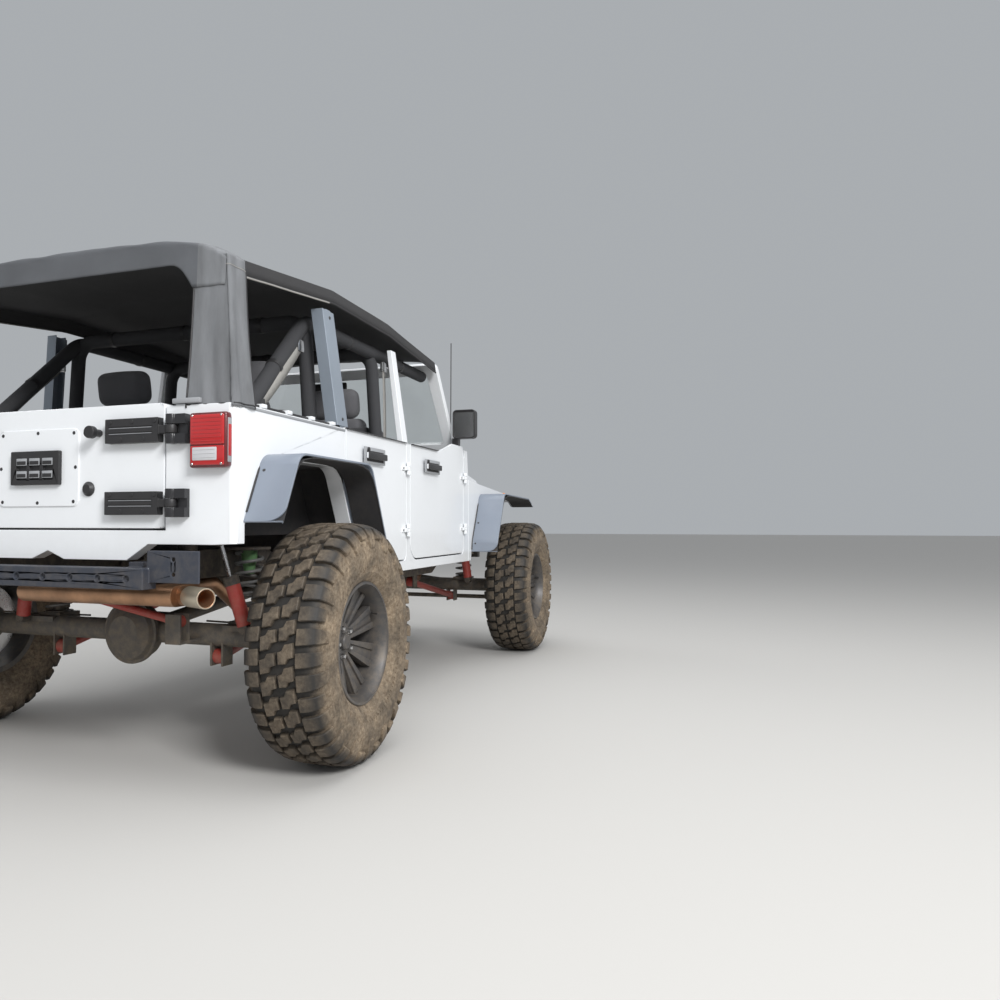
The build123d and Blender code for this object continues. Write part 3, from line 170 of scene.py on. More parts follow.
# %% Finishes
white_paint = finish("white paint", (0.84, 0.86, 0.88), rough=0.22, spread=0.008, grain=900, bump=0.001,
                     dust=0.14, mud_top=0.95, coat=0.6)
chassis_black = finish("chassis black", (0.026, 0.026, 0.029), rough=0.55, dust=0.6, mud_top=1.2)
beam_steel = finish("blue black beam", (0.026, 0.034, 0.052), rough=0.42, dust=0.2, mud_top=1.3)
bumper_black = finish("bumper black", (0.02, 0.02, 0.021), rough=0.6, grain=700, bump=0.06, dust=0.3)
axle_iron = finish("cast axle", (0.1, 0.1, 0.098), rough=0.6, metal=0.3, grain=300, bump=0.06, dust=0.7)
link_red = finish("red link", (0.4, 0.03, 0.026), rough=0.4, dust=0.45)
coil_grey = finish("coil paint", (0.12, 0.125, 0.13), rough=0.45, dust=0.5)
stop_green = finish("bump stop", (0.1, 0.22, 0.09), rough=0.6, dust=0.3)
exhaust_steel = finish("stained exhaust", (0.42, 0.235, 0.135), rough=0.34, metal=0.8, spread=0.35,
                       dust=0.25, cloud_scale=9.0)
pipe_tip = finish("cream pipe tip", (0.62, 0.55, 0.43), rough=0.3, metal=0.6, spread=0.2, dust=0.1)
bright_steel = finish("bright steel", (0.62, 0.62, 0.62), rough=0.25, metal=1.0, dust=0.2)
black_plastic = finish("black plastic", (0.022, 0.022, 0.024), rough=0.45, grain=900, bump=0.03, dust=0.14)
# a dark liner for the floor pan and the flare liners; behind the door handles the same dark is painted shade
dark_liner_and_recess_shade = finish("dark liner and painted recess shade", (0.03, 0.03, 0.033), rough=0.85, grain=500, bump=0.05, dust=0.35)
# the flares are light steel; this dark blue grey is painted shade, as they sit in shadow
flare_painted_shade = finish("flare steel with painted shade", (0.205, 0.235, 0.285), rough=0.34, spread=0.06, dust=0.14)
grey_steel = finish("blue grey steel", (0.27, 0.31, 0.36), rough=0.42, metal=0.3, dust=0.08)
grey_plastic = finish("grey plastic", (0.32, 0.33, 0.345), rough=0.5, grain=900, bump=0.02, dust=0.1)
bar_padding = finish("bar padding", (0.04, 0.041, 0.045), rough=0.85, grain=1500, bump=0.1, dust=0.1)
dash_plastic = finish("dash plastic", (0.06, 0.06, 0.065), rough=0.6, grain=1200, bump=0.05, dust=0.12)
seat_cloth = finish("seat cloth", (0.13, 0.13, 0.14), rough=0.9, grain=1600, bump=0.1, dust=0.08, sheen=0.3)
seat_edge = finish("seat bolster", (0.055, 0.055, 0.06), rough=0.85, grain=1600, bump=0.1, dust=0.08,
                   sheen=0.2)
roof_cloth = finish("roof cloth", (0.032, 0.032, 0.034), rough=0.85, grain=1700, bump=0.1, dust=0.12)
rear_cloth = finish("faded rear cloth", (0.175, 0.182, 0.192), rough=0.9, spread=0.28, grain=1700, bump=0.1,
                    dust=0.1, stretch=(2.2, 2.2, 0.5), cloud_scale=5.0)
header_cloth = finish("slate header cloth", (0.098, 0.104, 0.114), rough=0.8, spread=0.2, grain=1700,
                      bump=0.1, dust=0.1)
webbing = finish("webbing", (0.33, 0.32, 0.3), rough=0.8, grain=1500, bump=0.1, dust=0.1)
rim_paint = finish("rim paint", (0.07, 0.072, 0.078), rough=0.38, metal=0.4, dust=0.34, mud_top=1.2)
print("paints, metals and cloths:", len(bpy.data.materials))

# %% [markdown]
# The hinge leaves come as one piece but wear two colours: body colour at the doors and the cowl, black at the
# tailgate. A step along the vehicle's length switches between them.

# %% Two-tone hinges
TAIL_X = -1.95
hinge_paint = finish("hinge paint", (0.84, 0.86, 0.88), rough=0.24, spread=0.01, dust=0.14)
tree = hinge_paint.node_tree
split = node(tree, "ShaderNodeSeparateXYZ")
link(node(tree, "ShaderNodeTexCoord"), "Object", split, "Vector")
tail = node(tree, "ShaderNodeMath", operation="LESS_THAN")
link(split, "X", tail, 0)
tail.inputs[1].default_value = TAIL_X
shader = tree.nodes["Principled BSDF"]
painted = shader.inputs["Base Color"].links[0].from_socket
two_tone = node(tree, "ShaderNodeMix", data_type="RGBA")
link(tail, "Value", two_tone, 0)
tree.links.new(painted, two_tone.inputs[6])
two_tone.inputs[7].default_value = (0.022, 0.022, 0.024, 1)
link(two_tone, 2, shader, "Base Color")
print("hinges turn black behind x =", TAIL_X)

# %% [markdown]
# Glass lets the light through and only carries a thin smear. A lens is coloured plastic under a hard gloss.

# %% Glass and lenses
screen_glass = clear("screen glass", (0.93, 0.96, 0.95), 0.0)
lamp_glass = clear("lamp glass", (0.95, 0.96, 0.96), 0.05)
red_lens = finish("red lens", (0.46, 0.01, 0.012), rough=0.12, spread=0.1, grain=1200, bump=0.01,
                  dust=0.06, coat=1.0)
dark_lens = finish("dark red bezel", (0.11, 0.008, 0.01), rough=0.3, dust=0.06, coat=0.5)
pale_lens = finish("reverse lens", (0.6, 0.6, 0.62), rough=0.15, spread=0.2, dust=0.05, coat=1.0)
amber_lens = finish("amber lens", (0.75, 0.22, 0.02), rough=0.15, dust=0.05, coat=1.0)
print("finishes made:", len(bpy.data.materials))

# %% [markdown]
# Tyre rubber wears mud in its own way. Lug tops rub against the trail and pick up brown dust, the grooves
# stay dark, and the sidewall is tan and blotchy. Each point of a tyre stores how dusty it is as an attribute,
# and the finish reads that attribute.

# %% Muddy rubber
tyre_rubber, tree, shader = blank("muddy tyre rubber")
place = node(tree, "ShaderNodeTexCoord")
wear = node(tree, "ShaderNodeAttribute", attribute_name="dusty")
blotch = noisy(place, "Object", 11.0, 9.0, 0.65)
patch = ramp(tree, 0.3, 0.66, (0.25, 0.25, 0.25, 1), (1, 1, 1, 1))
link(blotch, "Fac", patch, "Fac")
share = node(tree, "ShaderNodeMath", operation="MULTIPLY", use_clamp=True)
link(wear, "Fac", share, 0)
link(patch, "Color", share, 1)
fleck = noisy(place, "Object", 70.0, 6.0, 0.7)
mud = ramp(tree, 0.3, 0.75, (0.12, 0.08, 0.048, 1), (0.42, 0.335, 0.235, 1))
link(fleck, "Fac", mud, "Fac")
mix = node(tree, "ShaderNodeMix", data_type="RGBA")
link(share, "Value", mix, 0)
mix.inputs[6].default_value = (0.013, 0.0125, 0.012, 1)
link(mud, "Color", mix, 7)
link(mix, 2, shader, "Base Color")
roughen(shader, share, "Value", 0.62, 0.97)
emboss(shader, fleck, 0.35, 0.002)
print("tyre rubber reads the attribute", wear.attribute_name)

# %% [markdown]
# Every solid piece gets its finish through its material slot. A short table is easier to check than a
# hundred lines of assignments: each finish is followed by the pieces that wear it. Real pressed panels have
# rounded edges, so a weld and a small bevel soften the sharp ones.

# %% Finishes and soft edges on the solid pieces
wears = [
    (white_paint, 0.0025, "body_sides rear_panel windshield_frame grille front_fenders hood tailgate "
                          "door_front_left door_front_right door_rear_left door_rear_right"),
    (hinge_paint, 0.001, "hinge_leaves"),
    (dark_liner_and_recess_shade, 0.003, "floor_pan"),
    (chassis_black, 0.004, "frame fuel_tank"),
    (beam_steel, 0.004, "rear_beam"),
    (bumper_black, 0.004, "front_bumper"),
    (axle_iron, 0, "axle_front axle_rear knuckle_left knuckle_right tie_rod drag_link pitman_arm drivetrain"),
    (link_red, 0, "suspension_links springs_shocks"),
    (exhaust_steel, 0.002, "exhaust"),
    (black_plastic, 0.003, "tailgate_hardware mirror_left mirror_right"),
    (black_plastic, 0, "antenna steering_wheel"),
    (flare_painted_shade, 0.002, "fender_flares"),
    (grey_steel, 0.002, "soft_top_frame"),
    (bar_padding, 0, "sport_bar"),
    (dash_plastic, 0.004, "dashboard"),
    (seat_cloth, 0, "front_seats rear_seat"),
    (roof_cloth, 0, "soft_top_roof"),
    (rear_cloth, 0, "soft_top_rear"),
    (screen_glass, 0, "windshield_glass"),
    (red_lens, 0, "lamps"),
    (tyre_rubber, 0, "tyre_front_left tyre_front_right tyre_rear_left tyre_rear_right"),
    (rim_paint, 0, "rim_front_left rim_front_right rim_rear_left rim_rear_right"),
]
for material, radius, names in wears:
    for name in names.split():
        slots = nodes[name].data.materials
        slots.clear()
        slots.append(material)
        if radius:
            weld = nodes[name].modifiers.new("weld", "WELD")
            weld.merge_threshold = 0.00005
            edge = nodes[name].modifiers.new("soft edges", "BEVEL")
            edge.width = radius
            edge.segments = 2
            edge.limit_method = "ANGLE"
            edge.angle_limit = math.radians(35)
            edge.use_clamp_overlap = False
print("solid pieces with a finish:", sum(len(names.split()) for _, _, names in wears))

# %% [markdown]
# Small shapes are made once and stamped where they are needed. A prism is a flat outline pulled upwards, a
# turned shape is half a section spun about an upright axis, and a wire is a curve with a round section. Each
# comes back as a loose mesh, and a matrix puts it in place.

# %% Shape helpers


def in_slot(part, slot):
    for face in part.faces:
        face.material_index = slot
    return part


def prism(points, depth, bevel=0.0, steps=2, slot=0):
    """Flat outline pulled upwards, with all its edges bevelled where asked."""
    part = bmesh.new()
    face = part.faces.new([part.verts.new((x, y, 0)) for x, y in points])
    top = bmesh.ops.extrude_face_region(part, geom=[face])["geom"]
    bmesh.ops.translate(part, vec=(0, 0, depth), verts=[v for v in top if isinstance(v, bmesh.types.BMVert)])
    bmesh.ops.recalc_face_normals(part, faces=part.faces)
    if bevel:
        bmesh.ops.bevel(part, geom=part.edges[:], offset=bevel, segments=steps, profile=0.5, affect="EDGES",
                        clamp_overlap=True, material=-1)
    return in_slot(part, slot)


def block(low, high, bevel=0.0, steps=2, slot=0):
    (x0, y0, z0), (x1, y1, z1) = low, high
    part = prism([(x0, y0), (x1, y0), (x1, y1), (x0, y1)], z1 - z0, bevel, steps, slot)
    bmesh.ops.translate(part, vec=(0, 0, z0), verts=part.verts)
    return part


def turned(profile, steps=40, slot=0):
    """Half section, as pairs of radius and height, spun about the upright axis."""
    part = bmesh.new()
    verts = [part.verts.new((radius, 0, height)) for radius, height in profile]
    edges = [part.edges.new(pair) for pair in zip(verts, verts[1:])]
    bmesh.ops.spin(part, geom=verts + edges, cent=(0, 0, 0), axis=(0, 0, 1), angle=math.tau, steps=steps,
                   use_merge=True)
    bmesh.ops.remove_doubles(part, verts=part.verts, dist=0.00001)
    bmesh.ops.recalc_face_normals(part, faces=part.faces)
    return in_slot(part, slot)


def wire(points, radius, slot=0, sides=2):
    """Round section swept along a line of points."""
    curve = bpy.data.curves.new("wire", "CURVE")
    curve.dimensions = "3D"
    curve.bevel_depth = radius
    curve.bevel_resolution = sides
    curve.use_fill_caps = True
    spline = curve.splines.new("POLY")
    spline.points.add(len(points) - 1)
    for point, place in zip(spline.points, points):
        point.co = (*place, 1)
    holder = bpy.data.objects.new("wire", curve)
    data = bpy.data.meshes.new_from_object(holder)
    part = bmesh.new()
    part.from_mesh(data)
    bpy.data.objects.remove(holder)
    bpy.data.meshes.remove(data)
    return in_slot(part, slot)


def stamp(target, part, matrix=Matrix()):
    """Adds a loose mesh to a larger one."""
    data = bpy.data.meshes.new("stamp")
    part.to_mesh(data)
    data.transform(matrix)
    if matrix.determinant() < 0:
        data.flip_normals()
    target.from_mesh(data)
    bpy.data.meshes.remove(data)


def stamp_blocks(target, rows, matrix=Matrix()):
    """Adds a block for each row: low corner, high corner, bevel, steps of the bevel, slot."""
    for low, high, bevel, steps, slot in rows:
        stamp(target, block(low, high, bevel, steps, slot), matrix)


def at(place, direction=(0, 0, 1)):
    """Matrix that turns up into a direction and moves to a place."""
    return Matrix.Translation(place) @ Vector(direction).to_track_quat("Z", "Y").to_matrix().to_4x4()


def as_mesh(name, mesh, materials, angle):
    """Mesh data with its finishes, smooth except where it bends by more than an angle."""
    data = bpy.data.meshes.new(name)
    mesh.to_mesh(data)
    mesh.free()
    for material in materials:
        data.materials.append(material)
    data.polygons.foreach_set("use_smooth", [True] * len(data.polygons))
    data.set_sharp_from_angle(angle=math.radians(angle))
    return data


def placed(name, data):
    made = bpy.data.objects.new(name, data)
    scene.collection.objects.link(made)
    return made


def carried(name, data, body, replaces=""):
    """Object that rides on a body of the frame, in place of the solid pieces named."""
    made = placed(name, data)
    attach(made, body)
    if replaces:
        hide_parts(*replaces.split())
    print(name, "on", body, "faces:", len(data.polygons))
    return made


def piece(name, mesh, materials, body="chassis", replaces="", angle=35):
    """Finished object from a mesh."""
    return carried(name, as_mesh(name, mesh, materials, angle), body, replaces)


SIDES = (("left", 1), ("right", -1))
MIRROR = {1: Matrix(), -1: Matrix.Diagonal((1, -1, 1, 1))}
BACK, OUT, DOWN = (-1, 0, 0), (0, 1, 0), (0, 0, -1)

# %% [markdown]
# The tyre decides the look of this vehicle. The carcass is a section spun about the axle. Lugs are drawn
# flat, as outlines on the tread's unrolled strip, and then wrapped round it. Two rows of hooked lugs lock
# into each other in the middle. The shoulder lugs run over the edge, and every second one bites down the
# sidewall.

# %% Mud-terrain tyres
TOP = 0.4498  # radius over the lugs
ROOT = 0.4335  # radius in the grooves
SINK = 0.006  # how far a lug's foot is let into the carcass
PITCHES = 18
RIBS = 90
carcass = [(0.222, 0.108), (0.232, 0.117), (0.246, 0.13), (0.262, 0.138), (0.266, 0.141), (0.272, 0.14),
           (0.292, 0.147), (0.318, 0.1505), (0.322, 0.1515), (0.33, 0.1505), (0.352, 0.148), (0.378, 0.142),
           (0.398, 0.134), (0.416, 0.122), (0.427, 0.104), (0.432, 0.07), (ROOT, 0.03)]


def wrap(part):
    """Wraps a flat strip round the axle: x runs along the tread, y across it, z outwards."""
    for vert in part.verts:
        turn = vert.co.x / TOP
        vert.co = (vert.co.z * math.sin(turn), vert.co.z * math.cos(turn), vert.co.y)
    return part


def tread_lug(outline, top):
    """Hooked lug whose walls lean in a little towards its top."""
    part = prism(outline, top - ROOT + SINK)
    bmesh.ops.translate(part, vec=(0, 0, ROOT - SINK), verts=part.verts)
    middle = sum((v.co for v in part.verts), Vector()) / len(part.verts)
    for vert in part.verts:
        if vert.co.z > top - 0.001:
            vert.co.xy = middle.xy + (vert.co.xy - middle.xy) * 0.9
    crown = [e for e in part.edges if all(v.co.z > top - 0.001 for v in e.verts)]
    bmesh.ops.bevel(part, geom=crown, offset=0.0026, segments=1, profile=0.5, affect="EDGES", material=-1)
    return wrap(part)


def shoulder_lug(section, half):
    """Lug with the given section across the tyre, bevelled along its edges."""
    part = prism(section, 2 * half, bevel=0.003, steps=1)
    bmesh.ops.translate(part, vec=(0, 0, -half), verts=part.verts)
    for vert in part.verts:
        across, out, along = vert.co
        vert.co = (along * (0.82 + 0.18 * (out - 0.36) / 0.09), across, out)
        vert.co.x += 0.1 * (across - 0.1)
    return wrap(part)


hook = [(-0.04, -0.063), (0.012, -0.066), (0.02, -0.044), (0.038, -0.035), (0.042, -0.006),
        (-0.003, -0.002), (-0.01, -0.02), (-0.032, -0.03)]
over = [(0.07, 0.42), (0.07, TOP - 0.0025), (0.104, TOP - 0.006), (0.13, 0.432)]
long_section = over + [(0.147, 0.404), (0.152, 0.372), (0.1515, 0.356), (0.136, 0.352), (0.12, 0.39)]
short_section = over + [(0.146, 0.41), (0.15, 0.396), (0.134, 0.388), (0.115, 0.4)]

tyre = bmesh.new()
stamp(tyre, turned(carcass + [(radius, -across) for radius, across in reversed(carcass)], steps=108))
pitch = math.tau / PITCHES
half_turn = Matrix.Rotation(math.pi, 4, "Y")
centre_lug = tread_lug(hook, TOP - 0.0005)
long_lug = shoulder_lug(long_section, 0.029)
short_lug = shoulder_lug(short_section, 0.026)
# for each lug of one pitch: its place round the tyre, and whether it is on the other side
lugs = [(centre_lug, 0.0, False), (centre_lug, 0.5, False), (centre_lug, 0.25, True),
        (centre_lug, 0.75, True), (long_lug, 0.12, False), (short_lug, 0.62, False), (long_lug, 0.62, True),
        (short_lug, 0.12, True)]
for i in range(PITCHES):
    for part, phase, other_side in lugs:
        spin = Matrix.Rotation(-(i + phase) * pitch, 4, "Z")
        stamp(tyre, part, spin @ half_turn if other_side else spin)
# a band of short ribs on each sidewall
for side in (1, -1):
    for k in range(RIBS):
        rib = block((-0.0012, 0.284, 0.138), (0.0012, 0.304, 0.1475))
        stamp(tyre, rib, Matrix.Rotation(k * math.tau / RIBS, 4, "Z") @ (half_turn if side < 0 else Matrix()))
tyre_data = as_mesh("tyre", tyre, [tyre_rubber], 32)
dusty = tyre_data.attributes.new("dusty", "FLOAT", "POINT")
for vert, value in zip(tyre_data.vertices, dusty.data):
    radius = vert.co.xy.length
    tread = max(0.0, min(1.0, (radius - 0.437) / 0.01))
    wall = max(0.0, min(1.0, (0.425 - radius) / 0.03)) * 0.95
    value.value = max(tread * 0.5, wall, 0.05)

AXLE_X, HALF_TRACK, AXLE_Z = 1.473, 0.91, 0.45004
wheels = []
for place, x in (("front", AXLE_X), ("rear", -AXLE_X)):
    for side_name, side in SIDES:
        stand = at((x, side * HALF_TRACK, AXLE_Z), (0, side, 0))
        wheels.append((place + "_" + side_name, stand @ Matrix.Rotation(0.13 * len(wheels), 4, "Z")))


def on_each_wheel(kind, data, replaced):
    """Copies one mesh to the four wheels, each facing outwards."""
    for name, outward in wheels:
        copy = data.copy()
        copy.transform(outward)
        carried(kind + "_" + name, copy, "wheel_" + name, replaced + "_" + name)


on_each_wheel("muddy_tyre", tyre_data, "tyre")

# %% [markdown]
# The wheel is a deep dish with eight broad spokes. Each spoke is a plate with a groove between two ribs, made
# once and turned round the hub. Nuts, cap, valve and the ventilated brake disc finish it.

# %% Dished wheels
SPOKES, NUTS = 8, 5
wheel = bmesh.new()
barrel = [(0.205, -0.122), (0.23, -0.122), (0.23, -0.112), (0.2215, -0.11), (0.2215, 0.11), (0.23, 0.112),
          (0.23, 0.1195), (0.227, 0.122), (0.219, 0.122), (0.216, 0.112), (0.206, 0.098), (0.203, 0.06),
          (0.205, -0.118), (0.205, -0.122)]
hub = [(0.0, 0.05), (0.026, 0.049), (0.031, 0.044), (0.033, 0.03), (0.07, 0.028), (0.08, 0.02),
       (0.084, -0.01), (0.0, -0.012)]
stamp(wheel, turned(barrel, steps=72))
stamp(wheel, turned(hub, steps=40))
spoke = bmesh.new()
stamp(spoke, prism([(-0.074, -0.024), (0.076, -0.05), (0.076, 0.05), (-0.074, 0.024)], 0.026, bevel=0.004))
for way in (1, -1):
    rib = [(-0.072, way * 0.023), (0.074, way * 0.049), (0.074, way * 0.02), (-0.072, way * 0.009)]
    stamp(spoke, prism(rib, 0.013, bevel=0.003), Matrix.Translation((0, 0, 0.022)))
lean = Matrix.Translation((0.137, 0, 0.014)) @ Matrix.Rotation(-0.28, 4, "Y")
for k in range(SPOKES):
    stamp(wheel, spoke, Matrix.Rotation(k * math.tau / SPOKES, 4, "Z") @ lean)
nut = turned([(0, 0.02), (0.007, 0.019), (0.0105, 0.014), (0.0105, 0), (0, 0)], steps=6, slot=1)
for k in range(NUTS):
    turn = k * math.tau / NUTS + 0.3
    stamp(wheel, nut, Matrix.Translation((0.055 * math.cos(turn), 0.055 * math.sin(turn), 0.028)))
disc = [(0.06, -0.034), (0.165, -0.034), (0.165, -0.041), (0.155, -0.045), (0.165, -0.049), (0.165, -0.056),
        (0.06, -0.056)]
bearing = [(0, -0.012), (0.072, -0.012), (0.072, -0.06), (0.026, -0.06)]
stamp(wheel, turned(disc, steps=56, slot=1))
stamp(wheel, turned(bearing, steps=32, slot=1))
stamp(wheel, wire([(0.196, 0.02, 0.07), (0.188, 0.02, 0.1)], 0.004, slot=2))
on_each_wheel("dished_wheel", as_mesh("wheel", wheel, [rim_paint, bright_steel, black_plastic], 32), "rim")

# %% [markdown]
# Cloth is the softest thing on the vehicle, and it shows. The roof is one sheet, stretched over the bows and
# sagging a few millimetres between them, with a skirt down each side. A grid is made first, and then each of
# its points is put in place from two numbers: how far along it lies, and how far across.

# %% Soft top
# each bow: place along the vehicle, height of the roof's edge there, half the roof's width
BOWS = [(0.243, 1.8414, 0.705), (-0.501, 1.8984, 0.72), (-1.15, 1.8984, 0.732), (-1.866, 1.823, 0.724)]
SAG = 0.009  # between two bows
CROWN = 0.042  # the roof's middle over its edge
SKIRT = 0.07  # share of the half width that hangs down at each side


def sheet_grid(columns, rows, shape):
    """Grid whose points are placed by a function of two numbers from 0 to 1."""
    mesh = bmesh.new()
    bmesh.ops.create_grid(mesh, x_segments=columns, y_segments=rows, size=0.5)
    for vert in mesh.verts:
        vert.co = shape(vert.co.x + 0.5, vert.co.y + 0.5)
    return mesh


def along_bows(u):
    """Place, edge height, half width and sag of the roof at a share of its length."""
    x = BOWS[0][0] + (BOWS[-1][0] - BOWS[0][0]) * u
    for (x0, edge0, half0), (x1, edge1, half1) in zip(BOWS, BOWS[1:]):
        if x >= x1 - 0.0001:
            share = (x0 - x) / (x0 - x1)
            sag = SAG * math.sin(math.pi * share)
            return x, edge0 + (edge1 - edge0) * share, half0 + (half1 - half0) * share, sag
    return x, BOWS[-1][1], BOWS[-1][2], 0.0


def roof_shape(u, v):
    x, edge, half, sag = along_bows(u)
    across = (v - 0.5) * (2 + 2 * SKIRT)
    wrinkle = 0.0022 * noise.noise(Vector((x * 2.2, across * 9.0, 0.0)))
    if abs(across) <= 1:
        height = edge + CROWN * (1 - across * across) - sag * (1 - across ** 4) + wrinkle - 0.003
        return Vector((x, across * (half - 0.004), height))
    drop = (abs(across) - 1) / SKIRT
    side = math.copysign(1, across)
    flutter = 0.004 * noise.noise(Vector((x * 7.0, side * 3.0, 1.0)))
    return Vector((x, side * (half - 0.002 + 0.004 * drop + flutter * drop), edge - 0.003 - 0.062 * drop))


def cloth(name, mesh, materials, replaces="", thickness=0.0016):
    """Sheet with a little thickness, its flat size worked out from the finished surface."""
    area = sum(face.calc_area() for face in mesh.faces)
    bmesh.ops.recalc_face_normals(mesh, faces=mesh.faces)
    made = piece(name, mesh, materials, replaces=replaces, angle=60)
    solid = made.modifiers.new("thickness", "SOLIDIFY")
    solid.thickness = thickness
    solid.offset = -1


cloth("stretched_roof_cloth", sheet_grid(84, 60, roof_shape), [roof_cloth],
      "soft_top_roof")

# hem, seam and light piping: place across, shift outwards and upwards, radius, first point, slot
EDGES = ((0.497, 0.002, 0, 0.003, 0, 0), (0.452, 0, 0.001, 0.0014, 0, 0), (0.499, 0.003, 0, 0.0035, 41, 1))
trim = bmesh.new()
for side in (1, -1):
    for v, out, up, radius, first, slot in EDGES:
        run = [roof_shape(u / 60, 0.5 + side * v) + Vector((0, side * out, up)) for u in range(first, 61)]
        stamp(trim, wire(run, radius, slot))
for x, edge, half in BOWS[1:3]:
    arc = [Vector((x, half * t / 20, edge + 0.0405 * (1 - (t / 20) ** 2))) for t in range(-19, 20)]
    stamp(trim, wire(arc, 0.0016))
piece("roof_hems_and_seams", trim, [black_plastic, webbing])

# %% [markdown]
# Behind the quarter windows the cloth wraps round each rear corner, from the side to the edge of the open
# rear window. It hangs loosely, so it folds more towards its lower edge. A darker header closes the top.

# %% Rear corners and header
BELT = 1.3  # upper edge of the body, where the cloth begins
CORNER = 0.515  # height of the corner cloth
SIDE_RUN, BEND_RUN = 0.094, 0.03  # width of cloth along the side and round the bend
HEADER_TOP, HEADER_BEND = 0.45, 0.6  # shares of the header where its bend begins and ends


def corner_shape(side):
    def shape(u, v):
        z = BELT - 0.012 + v * CORNER
        rise = max(0.0, z - BELT)
        outer = 0.786 - 0.057 * rise
        inner = 0.585 + 0.055 * rise - 0.07 * max(0.0, (z - 1.715) / 0.1) ** 2.4
        flare = 0.012 * (1 - v) ** 4
        run = u * (SIDE_RUN + BEND_RUN + outer - 0.022 - inner)
        ripple = math.sin(run * 88 + 3.5 * noise.noise(Vector((run * 4, z * 1.5, side))))
        fold = 0.0045 * ripple * (0.35 + 0.65 * (1 - v))
        fold += 0.005 * noise.noise(Vector((run * 14, z * 2.6, 5.0 + side)))
        if run < SIDE_RUN:
            place = (-1.868 - run, outer + fold + flare - 0.003)
        elif run < SIDE_RUN + BEND_RUN:
            turn = (run - SIDE_RUN) / BEND_RUN * math.pi / 2
            bend = 0.01 + flare
            place = (-1.962 - bend * math.sin(turn), outer - 0.012 + bend * math.cos(turn))
        else:
            place = (-1.97 - 0.5 * fold - flare * 0.6, outer - 0.012 - (run - SIDE_RUN - BEND_RUN))
        return Vector((place[0], side * place[1], z))
    return shape


def header_shape(u, v):
    """Header over the rear window: from the roof's edge over the top and down to the opening."""
    across = (u - 0.5) * 2
    outer = 1.892 - 0.026 * abs(across) ** 2.2 - 0.066 * abs(across) ** 9
    wave = 0.004 * noise.noise(Vector((across * 7, v * 2, 9.0)))
    y = across * (0.752 - 0.01 * v)
    if v < HEADER_TOP:
        back = v / HEADER_TOP
        return Vector((-1.86 - 0.1 * back, y, outer + 0.004 - 0.01 * back ** 2 + wave))
    if v < HEADER_BEND:
        turn = (v - HEADER_TOP) / (HEADER_BEND - HEADER_TOP) * math.pi / 2
        return Vector((-1.96 - 0.014 * math.sin(turn), y, outer - 0.02 + 0.014 * math.cos(turn) + wave))
    low = 1.784 - 0.085 * min(1.0, max(0.0, (abs(y) - 0.52) / 0.09)) ** 2.2
    share = (v - HEADER_BEND) / (1 - HEADER_BEND)
    return Vector((-1.974 - wave * 0.8, y, (outer - 0.02) * (1 - share) + low * share))


for side_name, side in SIDES:
    cloth("folded_corner_cloth_" + side_name, sheet_grid(90, 70, corner_shape(side)), [rear_cloth],
          "soft_top_rear")
header = sheet_grid(80, 26, header_shape)
for face in header.faces:
    face.material_index = 1 if abs(face.calc_center_median().y) > 0.63 else 0
cloth("slate_rear_header", header, [header_cloth, rear_cloth], "soft_top_rear")

# %% [markdown]
# Cloth never ends in a bare edge. A hem runs round each opening, and a strip with clips holds the lower edge
# to the body. Folded plates stand as uprights between the rear doors and the quarter windows.

# %% Hems, clips and uprights
FOOT, REACH = 1.307, 0.488  # height of the uprights' feet, and their length upwards
LEAN_BACK, LEAN_IN = 0.027, 0.0575  # how far they lean over that length
trim = bmesh.new()
for side in (1, -1):
    shape = corner_shape(side)
    stamp(trim, wire([shape(1.0, t / 24) + Vector((-0.001, 0, 0)) for t in range(25)], 0.0035))
    stamp(trim, wire([shape(0.0, t / 24) for t in range(25)], 0.003))
    stamp(trim, wire([shape(t / 24, 0.02) + Vector((0, side * 0.0006, 0)) for t in range(25)], 0.0022))
    seam = [shape(t / 30, 0.93) + Vector((-0.0006, side * 0.0006, 0)) for t in range(31)]
    stamp(trim, wire(seam, 0.0014, slot=1))
    strips = [((-1.895, 0.785, BELT - 0.014), (-1.15, 0.793, BELT - 0.004), 0.002, 2, 2),
              ((-1.9, 0.76, BELT), (-1.15, 0.78, BELT + 0.012), 0.003, 2, 0),
              ((-1.99, 0.545, BELT + 0.004), (-1.962, 0.655, BELT + 0.022), 0.003, 2, 2)]
    clips = [((x - 0.016, 0.766, BELT + 0.001), (x + 0.016, 0.794, BELT + 0.016), 0.003, 2, 3)
             for x in (-1.8, -1.62, -1.44, -1.26)]
    stamp_blocks(trim, strips + clips, MIRROR[side])
piece("soft_top_hems_and_clips", trim, [black_plastic, webbing, grey_plastic, white_paint])
uprights = bmesh.new()
plates = (((-1.226, -0.0005), (-1.126, 0.002)), ((-1.2285, -0.052), (-1.2255, 0.002)),
          ((-1.128, -0.02), (-1.1255, 0.002)))
for side in (1, -1):
    for low, high in plates:
        plate = block((*low, FOOT), (*high, FOOT + REACH), 0.0008, 1)
        for vert in plate.verts:
            rise = (vert.co.z - FOOT) / REACH
            vert.co.x -= LEAN_BACK * rise
            vert.co.y += 0.7908 - LEAN_IN * rise
        stamp(uprights, plate, MIRROR[side])
    for rise in (0.06, 0.94):
        place = (-1.17 - LEAN_BACK * rise, 0.7928 - LEAN_IN * rise, FOOT + REACH * rise)
        stamp(uprights, turned([(0, 0.003), (0.006, 0.0025), (0.008, 0)], steps=12, slot=1),
              MIRROR[side] @ at(place, OUT))
piece("soft_top_uprights", uprights, [grey_steel, black_plastic])

# %% [markdown]
# Seats are stuffed, so nothing on them is straight. Each pad is a block whose edges are rounded far in and
# whose middle is a little fuller. The dark bolsters at the sides are pads of their own.

# %% Seats
RECLINE = -0.16


